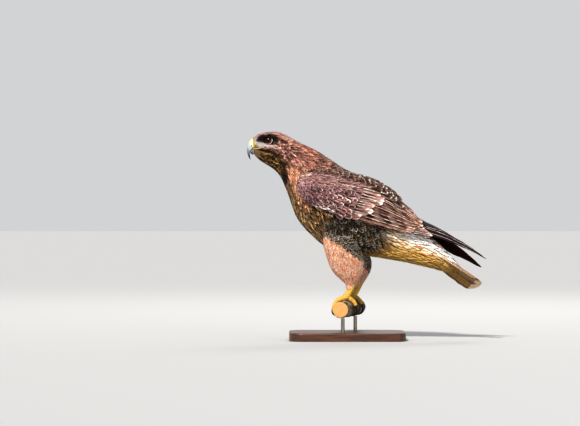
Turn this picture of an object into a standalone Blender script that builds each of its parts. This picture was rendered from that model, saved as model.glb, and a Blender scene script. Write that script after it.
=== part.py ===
"""A red-tailed hawk at life size, perched on a cut length of branch on a plain display stand.

The bird faces -X, its left side is towards -Y, and +Z is up. The origin is the middle of the stand's
underside. Tables are in millimetres from the top of the perch, and world positions are in metres.
"""

import math

import bmesh
import bpy
import numpy as np

MM = 0.001
GAP = 0.3

# The wing chord is the driving size, and the tables below are drawn for this one.
WING_CHORD = 380.0
DRAWN_WING_CHORD = 380.0
SCALE = WING_CHORD / DRAWN_WING_CHORD

# Stand and perch
BASE_LENGTH, BASE_WIDTH, BASE_THICK = 220.0, 150.0, 16.0
BASE_CORNER, BASE_EDGE = 26.0, 2.5
ROD_RADIUS, ROD_SPACING = 3.5, 116.0
PERCH_RADIUS, PERCH_LENGTH, PERCH_CLEARANCE = 16.0, 164.0, 28.0
PERCH_TURN = math.radians(13.0)
PERCH_X = 4.0
PERCH_TOP = BASE_THICK + PERCH_CLEARANCE + 2 * PERCH_RADIUS

# Body outline seen from the side: top x and z, underside x and z, half width
BODY = np.array([
    (-178.5, 308.2, -176.5, 276.0, 10.5),
    (-174.5, 311.8, -170.0, 269.5, 15.5),
    (-166.0, 315.8, -162.5, 263.3, 20.5),
    (-154.0, 318.9, -154.0, 258.0, 24.5),
    (-142.0, 320.0, -146.0, 253.3, 27.0),
    (-130.5, 319.0, -138.5, 248.0, 28.5),
    (-118.5, 314.8, -132.0, 241.5, 29.5),
    (-105.0, 307.0, -126.0, 234.0, 30.5),
    (-89.0, 298.5, -121.0, 224.0, 32.5),
    (-70.3, 289.8, -115.5, 210.5, 36.0),
    (-49.4, 278.3, -109.5, 194.5, 42.0),
    (-28.5, 264.5, -103.5, 176.5, 48.0),
    (-7.6, 250.5, -95.5, 157.0, 52.0),
    (15.2, 238.5, -84.0, 140.5, 54.0),
    (36.0, 225.0, -67.5, 123.5, 54.0),
    (56.0, 210.0, -47.5, 106.5, 52.0),
    (76.0, 193.0, -20.8, 94.0, 48.0),
    (94.0, 175.5, 11.5, 87.5, 42.5),
    (111.0, 159.0, 43.7, 82.6, 36.5),
    (127.3, 145.0, 76.0, 77.6, 31.5),
    (144.4, 131.5, 106.4, 72.2, 28.0),
    (163.0, 117.5, 134.9, 65.9, 26.0),
    (180.0, 101.0, 159.6, 60.5, 25.0),
    (197.0, 81.0, 180.0, 56.0, 23.5),
    (216.0, 59.5, 207.0, 50.0, 17.0),
])
HEAD_SQUARENESS, TRUNK_SQUARENESS = 2.5, 2.15
HEAD_END, NECK_END, TORSO_END, TAIL_CORE_END = 6.3, 9.6, 20.0, 24.0

# Raised and sunken forms of the face: start, end, radius, height
FACE_FORMS = (
    ((-169.0, 15.0, 310.5), (-136.0, 26.0, 309.0), 4.2, 3.6),
    ((-147.5, 23.0, 302.0), (-147.5, 23.0, 302.0), 8.0, -3.4),
    ((-169.0, 15.0, 297.0), (-160.0, 20.0, 299.0), 5.0, -1.8),
    ((-136.0, 27.0, 285.0), (-130.0, 28.0, 280.0), 13.0, 1.2),
)
EYE_CENTRE, EYE_RADIUS = (-147.5, 14.8, 302.6), 9.0
EYE_FORWARD = math.radians(20.0)
LID_OUT, LID_RADIUS, LID_THICK = 4.9, 7.7, 1.3

# Bill: outline x and z, cutting edge x and z, half width
UPPER_BILL = np.array([
    (-178.9, 307.3, -177.6, 287.3, 9.8),
    (-183.3, 303.8, -179.6, 284.9, 9.2),
    (-186.7, 299.2, -181.2, 283.6, 8.2),
    (-189.0, 293.8, -182.6, 282.4, 6.8),
    (-190.1, 288.0, -183.6, 280.6, 5.2),
    (-190.0, 282.0, -184.2, 277.8, 3.9),
    (-188.6, 276.0, -184.3, 274.0, 2.7),
    (-186.4, 270.8, -183.9, 270.0, 1.6),
    (-183.8, 266.8, -183.2, 266.9, 0.5),
])
LOWER_BILL = np.array([
    (-176.7, 277.0, -177.5, 286.3, 8.6),
    (-179.0, 276.2, -179.8, 283.9, 7.4),
    (-181.0, 276.7, -181.6, 282.3, 5.4),
    (-182.6, 278.4, -183.0, 280.5, 2.6),
])
CERE_END = 2.5
NOSTRIL_AT, NOSTRIL_RADII = (-181.6, 8.6, 293.5), (1.6, 3.0, 1.9)
MOUTH_FRONT, MOUTH_CORNER = (-181.0, 286.2), (-151.0, 289.3)
MOUTH_HEIGHT, MOUTH_DEPTH = 0.8, 2.5

# Folded wing: lower edge x, y, z, upper edge x, y, z, bulge. The last row is the tip.
WING = np.array([
    (-97.9, 50.0, 220.4, -95.5, 47.0, 231.0, 3.5),
    (-92.2, 56.0, 201.4, -83.6, 44.0, 241.3, 11.0),
    (-77.9, 59.5, 188.1, -60.8, 39.0, 247.5, 16.0),
    (-55.1, 60.0, 174.8, -34.2, 33.0, 248.0, 18.5),
    (-26.6, 59.5, 163.8, -5.7, 26.0, 243.2, 19.5),
    (7.6, 58.0, 153.9, 22.8, 18.5, 237.0, 19.0),
    (43.7, 55.0, 144.4, 50.4, 12.0, 229.0, 17.5),
    (81.7, 51.5, 134.9, 78.0, 8.0, 214.0, 14.5),
    (115.9, 47.5, 129.6, 104.6, 5.5, 193.5, 8.0),
    (146.3, 43.0, 127.3, 132.6, 4.5, 170.5, 4.5),
    (176.7, 38.0, 119.7, 160.6, 4.5, 148.0, 3.0),
    (205.2, 36.0, 108.0, 191.9, 6.0, 125.5, 1.5),
    (235.0, 30.0, 94.0, 226.0, 9.5, 106.5, 1.0),
    (266.0, 20.0, 77.0, 262.0, 12.0, 82.0, 0.3),
])
WING_CORE_END = 7.7
WING_CORE_TOP = ((0.0, 0.0), (2.4, 0.0), (4.2, 5.0), (5.4, 9.4), (7.7, 9.8))
WING_CORE_UNDER = ((0.0, 24.0), (5.0, 22.0), (7.7, 18.0))

# Vanes: share of the length and of the width there, and the stations that their cross rows share
VANE_STEPS = (0.0, 0.25, 0.5, 0.75, 0.92, 1.0)
VANE_WIDTHS = (0.6, 0.9, 1.0, 1.0, 0.75, 0.3)
VANE_STATIONS = (2.7, 3.6, 4.5, 5.4, 6.3, 7.2, 8.1, 9.0, 9.9, 10.8, 11.7, 12.4)
VANE_END = 0.35
VANE_THICK, ROOT_DIP = 0.55, 4.5
WING_SEED = 7

# Primaries from the innermost to the outermost: at and across of the tip, and width
PRIMARY_TIPS = (
    (10.0, 0.74, 26.0), (10.9, 0.78, 25.0), (11.8, 0.76, 22.0), (12.5, 0.70, 19.0),
    (13.0, 0.50, 17.0), (12.6, 0.30, 15.0), (11.7, 0.16, 13.0),
)
PRIMARY_ROOT, PRIMARY_DEPTH, PRIMARY_STACK = 6.3, 9.4, 0.95
PRIMARY_RISE_FROM, PRIMARY_RISE_TO, PRIMARY_LEVEL = 9.0, 11.0, 3

# The tiers over them, from the lower edge to the upper one
WING_TIERS = (
    {
        "count": 9, "first_root": (3.7, 0.08), "last_root": (4.6, 0.93),
        "first_tip": (8.3, 0.07), "last_tip": (8.7, 0.93),
        "crown": 0.6, "width": 25.0, "depth": 5.7, "slope": 0.13,
    },
    {
        "count": 8, "first_root": (1.9, 0.07), "last_root": (2.9, 0.86),
        "first_tip": (5.3, 0.06), "last_tip": (6.4, 0.88),
        "crown": 0.2, "width": 20.0, "depth": 1.6, "slope": 0.11,
    },
)
FAR_WING_DROOP, FAR_WING_TWIST, TWIST_SPAN = math.radians(2.9), math.radians(-24.0), (9.6, 11.6)
TWIST_AXIS_FROM, TWIST_AXIS_TO = (80.0, 30.0, 170.0), (264.0, 16.0, 80.0)
SHOULDER = (-62.0, 0.0, 216.0)

# Tail: root and direction of the feathers' fan, in the plane of symmetry
TAIL_ROOT, TAIL_SLOPE, TAIL_LENGTH = (62.7, 0.0, 155.0), math.radians(33.9), 229.0
TAIL_FEATHER_START = 92.0
TAIL_ROLL = math.radians(-20.0)
TAIL_ARCH, TAIL_STACK = 0.0042, 1.3

# Leg: trousers of feathers as rings: x, y, z, half length, half width
THIGH = np.array([
    (-18.0, 29.0, 146.0, 22.0, 17.0),
    (-17.0, 30.0, 130.0, 27.0, 20.0),
    (-14.0, 31.0, 110.0, 32.0, 22.0),
    (-8.0, 32.0, 92.0, 34.0, 22.5),
    (-3.0, 32.5, 77.0, 34.5, 21.5),
    (0.0, 32.5, 63.0, 32.0, 19.0),
    (2.5, 32.5, 50.0, 26.0, 15.5),
    (5.0, 32.0, 38.5, 17.0, 11.5),
    (7.0, 32.0, 31.0, 10.5, 8.0),
])
FOOT_SPACING = 64.0
HOCK_FROM_FOOT = (35.0, 0.0, 62.0)
TARSUS_RADIUS = 5.6
TOE_BASE_RADIUS, TOE_TIP_RADIUS = 5.0, 3.7
# Toe: name, first angle round the perch, last angle, first and last shift along it
TOES = (
    ("inner", 12.0, 86.0, 5.0, 15.0),
    ("middle", 12.0, 112.0, 0.0, 0.5),
    ("outer", 12.0, 96.0, -5.0, -17.0),
    ("hallux", -12.0, -72.0, 1.0, 5.0),
)
PAD_RADII = (8.0, 8.5, 5.0)
CLAW_ARCH = 3.0
CLAW_SWEEP = {"inner": 62.0, "middle": 48.0, "outer": 44.0, "hallux": -68.0}

BROWN = (0.085, 0.048, 0.031)
PALETTE = {
    "feather_brown": (BROWN, 0.75, 0.0),
    "feather_breast": ((0.13, 0.082, 0.048), 0.8, 0.0),
    "feather_rufous": ((0.36, 0.14, 0.065), 0.8, 0.0),
    "feather_tail": ((0.32, 0.15, 0.06), 0.7, 0.0),
    "horn": ((0.075, 0.08, 0.095), 0.3, 0.0),
    "cere": ((0.62, 0.56, 0.30), 0.45, 0.0),
    "eye": ((0.11, 0.035, 0.015), 0.08, 0.0),
    "leg_skin": ((0.72, 0.50, 0.10), 0.55, 0.0),
    "claw": ((0.02, 0.02, 0.022), 0.3, 0.0),
    "bark": ((0.16, 0.12, 0.08), 0.9, 0.0),
    "stand_wood": ((0.11, 0.06, 0.035), 0.45, 0.0),
    "stand_metal": ((0.30, 0.28, 0.25), 0.35, 1.0),
}


def clear_scene():
    """Removes what the scene holds and makes the collection of the bird's parts."""
    for obj in list(bpy.data.objects):
        bpy.data.objects.remove(obj)
    parts = bpy.data.collections.new("red_tailed_hawk")
    bpy.context.scene.collection.children.link(parts)
    return parts


def material(slot):
    """The material of a slot of the palette, made once."""
    if slot in bpy.data.materials:
        return bpy.data.materials[slot]
    colour, roughness, metallic = PALETTE[slot]
    made = bpy.data.materials.new(slot)
    made.use_nodes = True
    shader = made.node_tree.nodes["Principled BSDF"]
    shader.inputs["Base Color"].default_value = (*colour, 1.0)
    shader.inputs["Roughness"].default_value = roughness
    shader.inputs["Metallic"].default_value = metallic
    return made


def world(points):
    """Millimetres from the top of the perch as metres from the stand's underside."""
    return (np.asarray(points, float) * SCALE + (0.0, 0.0, PERCH_TOP)) * MM


def add_object(name, mesh, parts, slot):
    """A smooth-shaded object of a mesh in the parts' collection."""
    obj = bpy.data.objects.new(name, mesh)
    parts.objects.link(obj)
    mesh.materials.clear()
    mesh.materials.append(material(slot))
    mesh.shade_smooth()
    mesh.set_sharp_from_angle(angle=math.radians(40.0))
    return obj


def spline(table, at):
    """A smooth curve through the rows of a table, at a fractional row number."""
    at = min(max(at, 0.0), len(table) - 1.0)
    i = min(int(at), len(table) - 2)
    t = at - i
    before, start, end, after = (table[min(max(k, 0), len(table) - 1)] for k in (i - 1, i, i + 1, i + 2))
    return 0.5 * (
        2 * start
        + (end - before) * t
        + (2 * before - 5 * start + 4 * end - after) * t * t
        + (3 * start - before - 3 * end + after) * t**3
    )


def smoothstep(low, high, value):
    """0 below low, 1 above high, and smooth between them."""
    t = min(max((value - low) / (high - low), 0.0), 1.0)
    return t * t * (3 - 2 * t)


def unit(vector):
    """The vector at length 1."""
    return np.asarray(vector, float) / np.linalg.norm(vector)


def turned(vector, axis, angle):
    """A vector turned about a unit axis."""
    cos, sin = math.cos(angle), math.sin(angle)
    return vector * cos + np.cross(axis, vector) * sin + axis * np.dot(axis, vector) * (1 - cos)


def loft(name, rings, parts, slot):
    """A closed skin over rings of as many points each, with a fan at each end."""
    shape = bmesh.new()
    rows = [[shape.verts.new(point) for point in world(ring)] for ring in rings]
    sides = len(rows[0])
    for row, following in zip(rows, rows[1:]):
        for k in range(sides):
            after = (k + 1) % sides
            shape.faces.new((row[k], following[k], following[after], row[after]))
    for row, order in ((rows[0], 1), (rows[-1], -1)):
        middle = shape.verts.new(sum((v.co for v in row[1:]), row[0].co.copy()) / sides)
        for k in range(sides):
            pair = (row[k], row[(k + 1) % sides])[::order]
            shape.faces.new((middle, *pair))
    bmesh.ops.recalc_face_normals(shape, faces=shape.faces)
    mesh = bpy.data.meshes.new(name)
    shape.to_mesh(mesh)
    shape.free()
    return add_object(name, mesh, parts, slot)


def tube(name, points, radii, parts, slot, resolution=2):
    """A round tube along points, as thick at each as its radius, made a closed mesh."""
    curve = bpy.data.curves.new(name, "CURVE")
    curve.dimensions = "3D"
    curve.bevel_depth = MM
    curve.bevel_resolution = resolution
    curve.use_fill_caps = True
    line = curve.splines.new("POLY")
    line.points.add(len(points) - 1)
    for point, place, radius in zip(line.points, world(points), radii):
        point.co = (*place, 1.0)
        point.radius = radius * SCALE
    guide = bpy.data.objects.new(name + "_guide", curve)
    parts.objects.link(guide)
    graph = bpy.context.evaluated_depsgraph_get()
    mesh = bpy.data.meshes.new_from_object(guide.evaluated_get(graph))
    bpy.data.objects.remove(guide)
    shape = bmesh.new()
    shape.from_mesh(mesh)
    bmesh.ops.remove_doubles(shape, verts=shape.verts, dist=1e-6)
    bmesh.ops.recalc_face_normals(shape, faces=shape.faces)
    shape.to_mesh(mesh)
    shape.free()
    mesh.name = name
    return add_object(name, mesh, parts, slot)


def largest_body(mesh):
    """Leaves only the closed surface with the most volume."""
    shape = bmesh.new()
    shape.from_mesh(mesh)
    bmesh.ops.remove_doubles(shape, verts=shape.verts, dist=2e-7)
    bmesh.ops.triangulate(shape, faces=shape.faces)
    left, bodies = set(shape.faces), []
    while left:
        body, edge_of = [], [left.pop()]
        while edge_of:
            face = edge_of.pop()
            body.append(face)
            for near in {f for e in face.edges for f in e.link_faces} & left:
                left.discard(near)
                edge_of.append(near)
        corners = np.array([[v.co for v in face.verts] for face in body])
        volume = np.einsum("ij,ij->i", corners[:, 0], np.cross(corners[:, 1], corners[:, 2])).sum()
        bodies.append((volume, body))
    bodies.sort(key=lambda found: found[0])
    loose = [face for _, body in bodies[:-1] for face in body]
    bmesh.ops.delete(shape, geom=loose, context="FACES")
    shape.to_mesh(mesh)
    shape.free()


def combine(target, others, operation, solver="EXACT"):
    """Joins objects to a target or cuts them from it, and removes them."""
    group = bpy.data.collections.new("operands")
    bpy.context.scene.collection.children.link(group)
    for obj in others:
        for owner in obj.users_collection:
            owner.objects.unlink(obj)
        group.objects.link(obj)
    step = target.modifiers.new(operation.lower(), "BOOLEAN")
    step.operation, step.solver = operation, solver
    step.operand_type, step.collection = "COLLECTION", group
    graph = bpy.context.evaluated_depsgraph_get()
    mesh = bpy.data.meshes.new_from_object(target.evaluated_get(graph))
    target.modifiers.clear()
    largest_body(mesh)
    kept = target.data.materials[0]
    target.data = mesh
    mesh.materials.clear()
    mesh.materials.append(kept)
    mesh.shade_smooth()
    mesh.set_sharp_from_angle(angle=math.radians(40.0))
    for obj in others:
        bpy.data.objects.remove(obj)
    bpy.data.collections.remove(group)
    return target


def segment_distance(point, start, end):
    """How far a point is from the straight line between two others."""
    point, start, end = (np.asarray(p, float) for p in (point, start, end))
    run = end - start
    share = np.dot(point - start, run) / max(np.dot(run, run), 1e-9)
    return np.linalg.norm(point - start - run * min(max(share, 0.0), 1.0))


def face_relief(point):
    """How far the brow, eye hollow, lore and cheek raise a point of the head."""
    mirrored = (point[0], abs(point[1]), point[2])
    return sum(
        height * math.exp(-((segment_distance(mirrored, start, end) / radius) ** 2))
        for start, end, radius, height in FACE_FORMS
    )


def body_ring(station, sides, grow=0.0, shift=0.0):
    """A ring of points round the body at a station, grown outwards and shifted towards the tail."""
    top_x, top_z, low_x, low_z, half_width = spline(BODY, station)
    top, low = np.array((top_x, 0.0, top_z)), np.array((low_x, 0.0, low_z))
    centre, half_height = (top + low) / 2, np.linalg.norm(top - low) / 2
    up = unit(top - low)
    aft = np.array((up[2], 0.0, -up[0]))
    left = np.array((0.0, -1.0, 0.0))
    roll = TAIL_ROLL * smoothstep(17.5, 22.5, station)
    cos, sin = math.cos(roll), math.sin(roll)
    up, left = up * cos + left * sin, left * cos - up * sin
    power = TRUNK_SQUARENESS + (HEAD_SQUARENESS - TRUNK_SQUARENESS) * smoothstep(HEAD_END + 1, 3.0, station)
    ring = []
    for k in range(sides):
        angle = 2 * math.pi * k / sides
        cos, sin = math.cos(angle), math.sin(angle)
        reach = (abs(cos) ** power + abs(sin) ** power) ** (-1 / power)
        out = up * cos * half_height * reach + left * sin * half_width * reach
        point = centre + out
        if station < HEAD_END + 1:
            point = point + unit(out) * face_relief(point)
        ring.append(point + unit(out) * grow + aft * shift)
    return ring


def body_length(name, first, last, count, sides, parts, slot, grow=0.0, open_front=False):
    """A length of the body between two stations, each end drawn back by half the gap."""
    stations = np.linspace(first, last, count)
    front = 0.0 if open_front else GAP / 2
    shifts = [front - grow, *([0.0] * (count - 2)), -GAP / 2 + grow]
    rings = [body_ring(s, sides, grow, shift) for s, shift in zip(stations, shifts)]
    return loft(name, rings, parts, slot)


def ball(name, centre, radii, parts, slot, segments=20, rings=12):
    """An ellipsoid from a sphere primitive."""
    shape = bmesh.new()
    bmesh.ops.create_uvsphere(shape, u_segments=segments, v_segments=rings, radius=1.0)
    for vertex in shape.verts:
        vertex.co = world(np.array(vertex.co) * radii + centre)
    mesh = bpy.data.meshes.new(name)
    shape.to_mesh(mesh)
    shape.free()
    return add_object(name, mesh, parts, slot)


def box(name, centre, size, turn, parts, slot):
    """A box turned about Y, from a cube primitive."""
    shape = bmesh.new()
    bmesh.ops.create_cube(shape, size=1.0)
    cos, sin = math.cos(turn), math.sin(turn)
    for vertex in shape.verts:
        x, y, z = np.array(vertex.co) * size
        vertex.co = world(np.array((x * cos + z * sin, y, z * cos - x * sin)) + centre)
    mesh = bpy.data.meshes.new(name)
    shape.to_mesh(mesh)
    shape.free()
    return add_object(name, mesh, parts, slot)


def sided(point, side):
    """A point of the left half moved to a side: -1 is the left, +1 the right."""
    return np.array((point[0], point[1] * side, point[2]))


def eye_axis(side):
    """The way that an eye looks: outwards and a little forwards."""
    return np.array((-math.sin(EYE_FORWARD), side * math.cos(EYE_FORWARD), 0.06))


def lid(side, parts):
    """The ring of both lids round an eye, to be joined to the head."""
    axis = unit(eye_axis(side))
    across = unit(np.cross(axis, (0.0, 0.0, 1.0)))
    up = np.cross(across, axis)
    middle = sided(EYE_CENTRE, side) + axis * LID_OUT
    steps, around = 16, 4
    rings = []
    for i in range(steps):
        angle = 2 * math.pi * i / steps
        out = across * math.cos(angle) + up * math.sin(angle) * 0.93
        centre = middle + out * LID_RADIUS
        rings.append([
            centre + LID_THICK * (out * math.cos(b) + axis * math.sin(b))
            for b in (2 * math.pi * k / around for k in range(around))
        ])
    shape = bmesh.new()
    rows = [[shape.verts.new(p) for p in world(ring)] for ring in rings]
    for i in range(steps):
        for k in range(around):
            j, after = (i + 1) % steps, (k + 1) % around
            shape.faces.new((rows[i][k], rows[j][k], rows[j][after], rows[i][after]))
    bmesh.ops.recalc_face_normals(shape, faces=shape.faces)
    mesh = bpy.data.meshes.new("lid")
    shape.to_mesh(mesh)
    shape.free()
    return add_object("lid", mesh, parts, "feather_brown")


def make_head(parts):
    """The head, with brows, lids, eye sockets and the line of the mouth, and the two eyes."""
    head = body_length("head", 0.0, HEAD_END, 15, 28, parts, "feather_brown", open_front=True)
    combine(head, [lid(-1, parts), lid(1, parts)], "UNION")
    socket = EYE_RADIUS + GAP
    cutters = [
        ball("socket", sided(EYE_CENTRE, side), (socket,) * 3, parts, "eye", 16, 10) for side in (-1, 1)
    ]
    front, corner = np.array(MOUTH_FRONT), np.array(MOUTH_CORNER)
    run = corner - front
    middle = (front + corner) / 2
    size = (np.linalg.norm(run), 80.0, MOUTH_HEIGHT)
    turn = -math.atan2(run[1], run[0])
    mouth = box("mouth", (middle[0], 0.0, middle[1]), size, turn, parts, "eye")
    inside = body_length("inside", 0.0, HEAD_END, 15, 24, parts, "eye", -MOUTH_DEPTH, open_front=True)
    cutters.append(combine(mouth, [inside], "DIFFERENCE"))
    combine(head, cutters, "DIFFERENCE")
    for side, name in ((-1, "eye_left"), (1, "eye_right")):
        ball(name, sided(EYE_CENTRE, side), (EYE_RADIUS,) * 3, parts, "eye", 16, 9)


def bill_ring(table, at, sides, shift=0.0):
    """A ring of the bill: round over the ridge, flatter along the cutting edges."""
    top_x, top_z, low_x, low_z, half_width = spline(table, at)
    top, low = np.array((top_x, 0.0, top_z)), np.array((low_x, 0.0, low_z))
    up = unit(top - low)
    height = np.linalg.norm(top - low)
    forward = np.array((-abs(up[2]), 0.0, up[0] * np.sign(up[2])))
    ring = []
    for k in range(sides):
        angle = 2 * math.pi * k / sides
        cos, sin = math.cos(angle), math.sin(angle)
        rise = 0.30 + 0.70 * cos if cos > 0 else 0.30 + 0.30 * cos
        width = math.copysign(abs(sin) ** 0.8, sin)
        ring.append(low + up * height * rise + np.array((0.0, -width * half_width, 0.0)) + forward * shift)
    return ring


def make_bill(parts):
    """The cere with its nostrils, the hooked upper bill and the lower bill."""
    rows = [0.0, 0.8, 1.6, CERE_END]
    cere = loft(
        "cere",
        [bill_ring(UPPER_BILL, s, 18, GAP if s == 0 else -GAP / 2 if s == CERE_END else 0) for s in rows],
        parts,
        "cere",
    )
    nostrils = [
        ball("nostril", sided(NOSTRIL_AT, side), NOSTRIL_RADII, parts, "cere", 10, 6) for side in (-1, 1)
    ]
    combine(cere, nostrils, "DIFFERENCE")
    rows = [CERE_END, 3.2, 4.0, 4.8, 5.6, 6.4, 7.2, 8.0]
    rings = [bill_ring(UPPER_BILL, s, 16, GAP / 2 if s == CERE_END else 0.0) for s in rows]
    loft("upper_bill", rings, parts, "horn")
    rings = [bill_ring(LOWER_BILL, s, 14, GAP if s == 0 else 0.0) for s in (0.0, 0.6, 1.2, 1.8, 2.4, 3.0)]
    loft("lower_bill", rings, parts, "horn")


def wing_surface(at, across, side, sink=0.0):
    """A point of the folded wing's outer surface, and the way out of it.

    at runs from the wrist, 0, to the tip, 13. across runs from the lower edge, 0, to the upper edge, 1.
    """
    def outer(s, t):
        row = spline(WING, s)
        low, high, bulge = row[:3], row[3:6], row[6]
        chord = high - low
        along = spline(WING, min(s + 0.5, 13.0))[:3] - spline(WING, max(s - 0.5, 0.0))[:3]
        out = unit(np.cross(along, chord))
        if out[1] < 0:
            out = -out
        return low + chord * t + out * bulge * 4 * t * (1 - t)

    step = 0.02
    point = outer(at, across)
    d_along = outer(min(at + step, 13.0), across) - outer(max(at - step, 0.0), across)
    d_across = outer(at, across + step) - outer(at, across - step)
    normal = unit(np.cross(d_along, d_across))
    if normal[1] < 0:
        normal = -normal
    point = point - normal * sink
    if side > 0:
        middle = spline(WING, at)[:6].reshape(2, 3).mean(axis=0)
        axis = unit(np.subtract(TWIST_AXIS_TO, TWIST_AXIS_FROM))
        twist = FAR_WING_TWIST * smoothstep(*TWIST_SPAN, at)
        point = middle + turned(point - middle, axis, twist)
        normal = turned(normal, axis, twist)
    point, normal = sided(point, side), sided(normal, side)
    if side > 0:
        cos, sin = math.cos(FAR_WING_DROOP), math.sin(FAR_WING_DROOP)
        turn = np.array(((cos, 0.0, sin), (0.0, 1.0, 0.0), (-sin, 0.0, cos)))
        point, normal = turn @ (point - SHOULDER) + SHOULDER, turn @ normal
    return point, normal


def wing_core(side, parts, name):
    """The wing's body: its coverts' surface at the arm, sunk below the vanes behind them."""
    rings = []
    for s in np.linspace(0.0, WING_CORE_END, 12):
        top = np.interp(s, *zip(*WING_CORE_TOP))
        under = np.interp(s, *zip(*WING_CORE_UNDER))
        outer = [wing_surface(s, t, side, top)[0] for t in np.linspace(0.0, 1.0, 8)]
        inner = [wing_surface(s, t, side, under)[0] for t in np.linspace(0.92, 0.08, 4)]
        rings.append(outer + inner)
    return loft(name, rings, parts, "feather_brown")


def wing_vane(side, root, tip, width, depths, slope, parts):
    """A vane over the folded wing, from a root to a tip that are each an (at, across) pair.

    It lies between a first and a last depth below the wing's outer surface, tilted by a slope across
    it, dips into the core at its root and ends at the wing's edges.
    """
    (s0, t0), (s1, t1) = root, tip

    def surface(v, u, back):
        at = s0 + (s1 - s0) * v
        row = spline(WING, at)
        across = t0 + (t1 - t0) * v + u / np.linalg.norm(row[3:6] - row[:3])
        rise = smoothstep(PRIMARY_RISE_FROM, PRIMARY_RISE_TO, at)
        sunk = ROOT_DIP * (1.0 - smoothstep(0.0, 0.24, v))
        depth = depths[0] + (depths[1] - depths[0]) * rise + slope * u + sunk + back
        return wing_surface(at, min(max(across, 0.0), 1.0), side, depth)[0]

    rows = [s0, *(s for s in VANE_STATIONS if s0 + VANE_END < s < s1 - 2 * VANE_END), s1 - VANE_END, s1]
    steps = [(s - s0) / (s1 - s0) for s in rows]
    widths = width / 2 * np.interp(steps, VANE_STEPS, VANE_WIDTHS)
    return vane(surface, widths, steps, VANE_THICK, parts, columns=(-1.0, 1.0))


def wing_vanes(side, parts):
    """The folded wing's tiers, from the primaries underneath to the greater coverts on top."""
    draw = np.random.default_rng(WING_SEED)
    made = []
    for rank, (tip_at, tip_across, width) in enumerate(PRIMARY_TIPS):
        root = (PRIMARY_ROOT, 0.60 - 0.03 * rank)
        depths = (PRIMARY_DEPTH + PRIMARY_STACK * rank, PRIMARY_STACK * (rank - PRIMARY_LEVEL))
        made.append(wing_vane(side, root, (tip_at, tip_across), width, depths, 0.0, parts))
    for tier in WING_TIERS:
        for k in range(tier["count"]):
            share = k / (tier["count"] - 1)
            jitter = draw.uniform(-1.0, 1.0, 2)
            root = [a + (b - a) * share for a, b in zip(tier["first_root"], tier["last_root"])]
            tip = [a + (b - a) * share for a, b in zip(tier["first_tip"], tier["last_tip"])]
            tip[0] += tier["crown"] * math.sin(math.pi * share) + 0.07 * jitter[0]
            width = tier["width"] * (1.0 + 0.05 * jitter[1])
            made.append(wing_vane(side, root, tip, width, [tier["depth"]] * 2, tier["slope"], parts))
    return made


def make_body(parts):
    """The neck and the torso."""
    body_length("neck", HEAD_END, NECK_END, 6, 26, parts, "feather_brown")
    body_length("torso", NECK_END, TORSO_END, 17, 28, parts, "feather_breast")


def trunk_cutters(parts):
    """Copies of the neck, torso and tail root grown by the gap, to cut what lies against them."""
    return [
        body_length("neck_cutter", HEAD_END, NECK_END, 6, 26, parts, "feather_brown", GAP),
        torso_cutter(parts),
        body_length("tail_cutter", TORSO_END, TAIL_CORE_END, 8, 18, parts, "feather_brown", GAP),
    ]


def torso_cutter(parts):
    """A copy of the torso grown by the gap."""
    return body_length("torso_cutter", NECK_END, TORSO_END, 17, 28, parts, "feather_brown", GAP)


def make_wing(side, name, parts):
    """A folded wing with its tiers of vanes, cut to lie against the body."""
    wing = wing_core(side, parts, name)
    combine(wing, wing_vanes(side, parts), "UNION", "MANIFOLD")
    combine(wing, trunk_cutters(parts), "DIFFERENCE", "MANIFOLD")


def make_tail(parts):
    """The coverts round the tail's root and the twelve tail feathers."""
    tail = body_length("tail", TORSO_END, TAIL_CORE_END, 8, 18, parts, "feather_tail")
    combine(tail, tail_feathers(parts), "UNION", "MANIFOLD")


def vane(surface, half_widths, steps, thick, parts, columns):
    """A thin closed feather: surface(v, u) gives a point on its upper face and the way out of it."""
    shape = bmesh.new()
    grid = [
        [[surface(v, u * half, back * thick) for u in columns] for v, half in zip(steps, half_widths)]
        for back in (0.0, 1.0)
    ]
    top, under = ([[shape.verts.new(p) for p in world(row)] for row in face] for face in grid)
    rows, across = len(steps), len(columns)
    for i in range(rows - 1):
        for j in range(across - 1):
            for face, turn in ((top, 1), (under, -1)):
                a, b, c, d = face[i][j], face[i + 1][j], face[i + 1][j + 1], face[i][j + 1]
                shape.faces.new((a, b, c)[::turn])
                shape.faces.new((a, c, d)[::turn])
    rim = [(i, 0) for i in range(rows)] + [(rows - 1, j) for j in range(1, across)]
    rim += [(i, across - 1) for i in range(rows - 2, -1, -1)] + [(0, j) for j in range(across - 2, 0, -1)]
    for (i, j), (k, m) in zip(rim, rim[1:] + rim[:1]):
        shape.faces.new((top[i][j], under[i][j], under[k][m]))
        shape.faces.new((top[i][j], under[k][m], top[k][m]))
    bmesh.ops.recalc_face_normals(shape, faces=shape.faces)
    mesh = bpy.data.meshes.new("vane")
    shape.to_mesh(mesh)
    shape.free()
    return add_object("vane", mesh, parts, "feather_tail")


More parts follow.
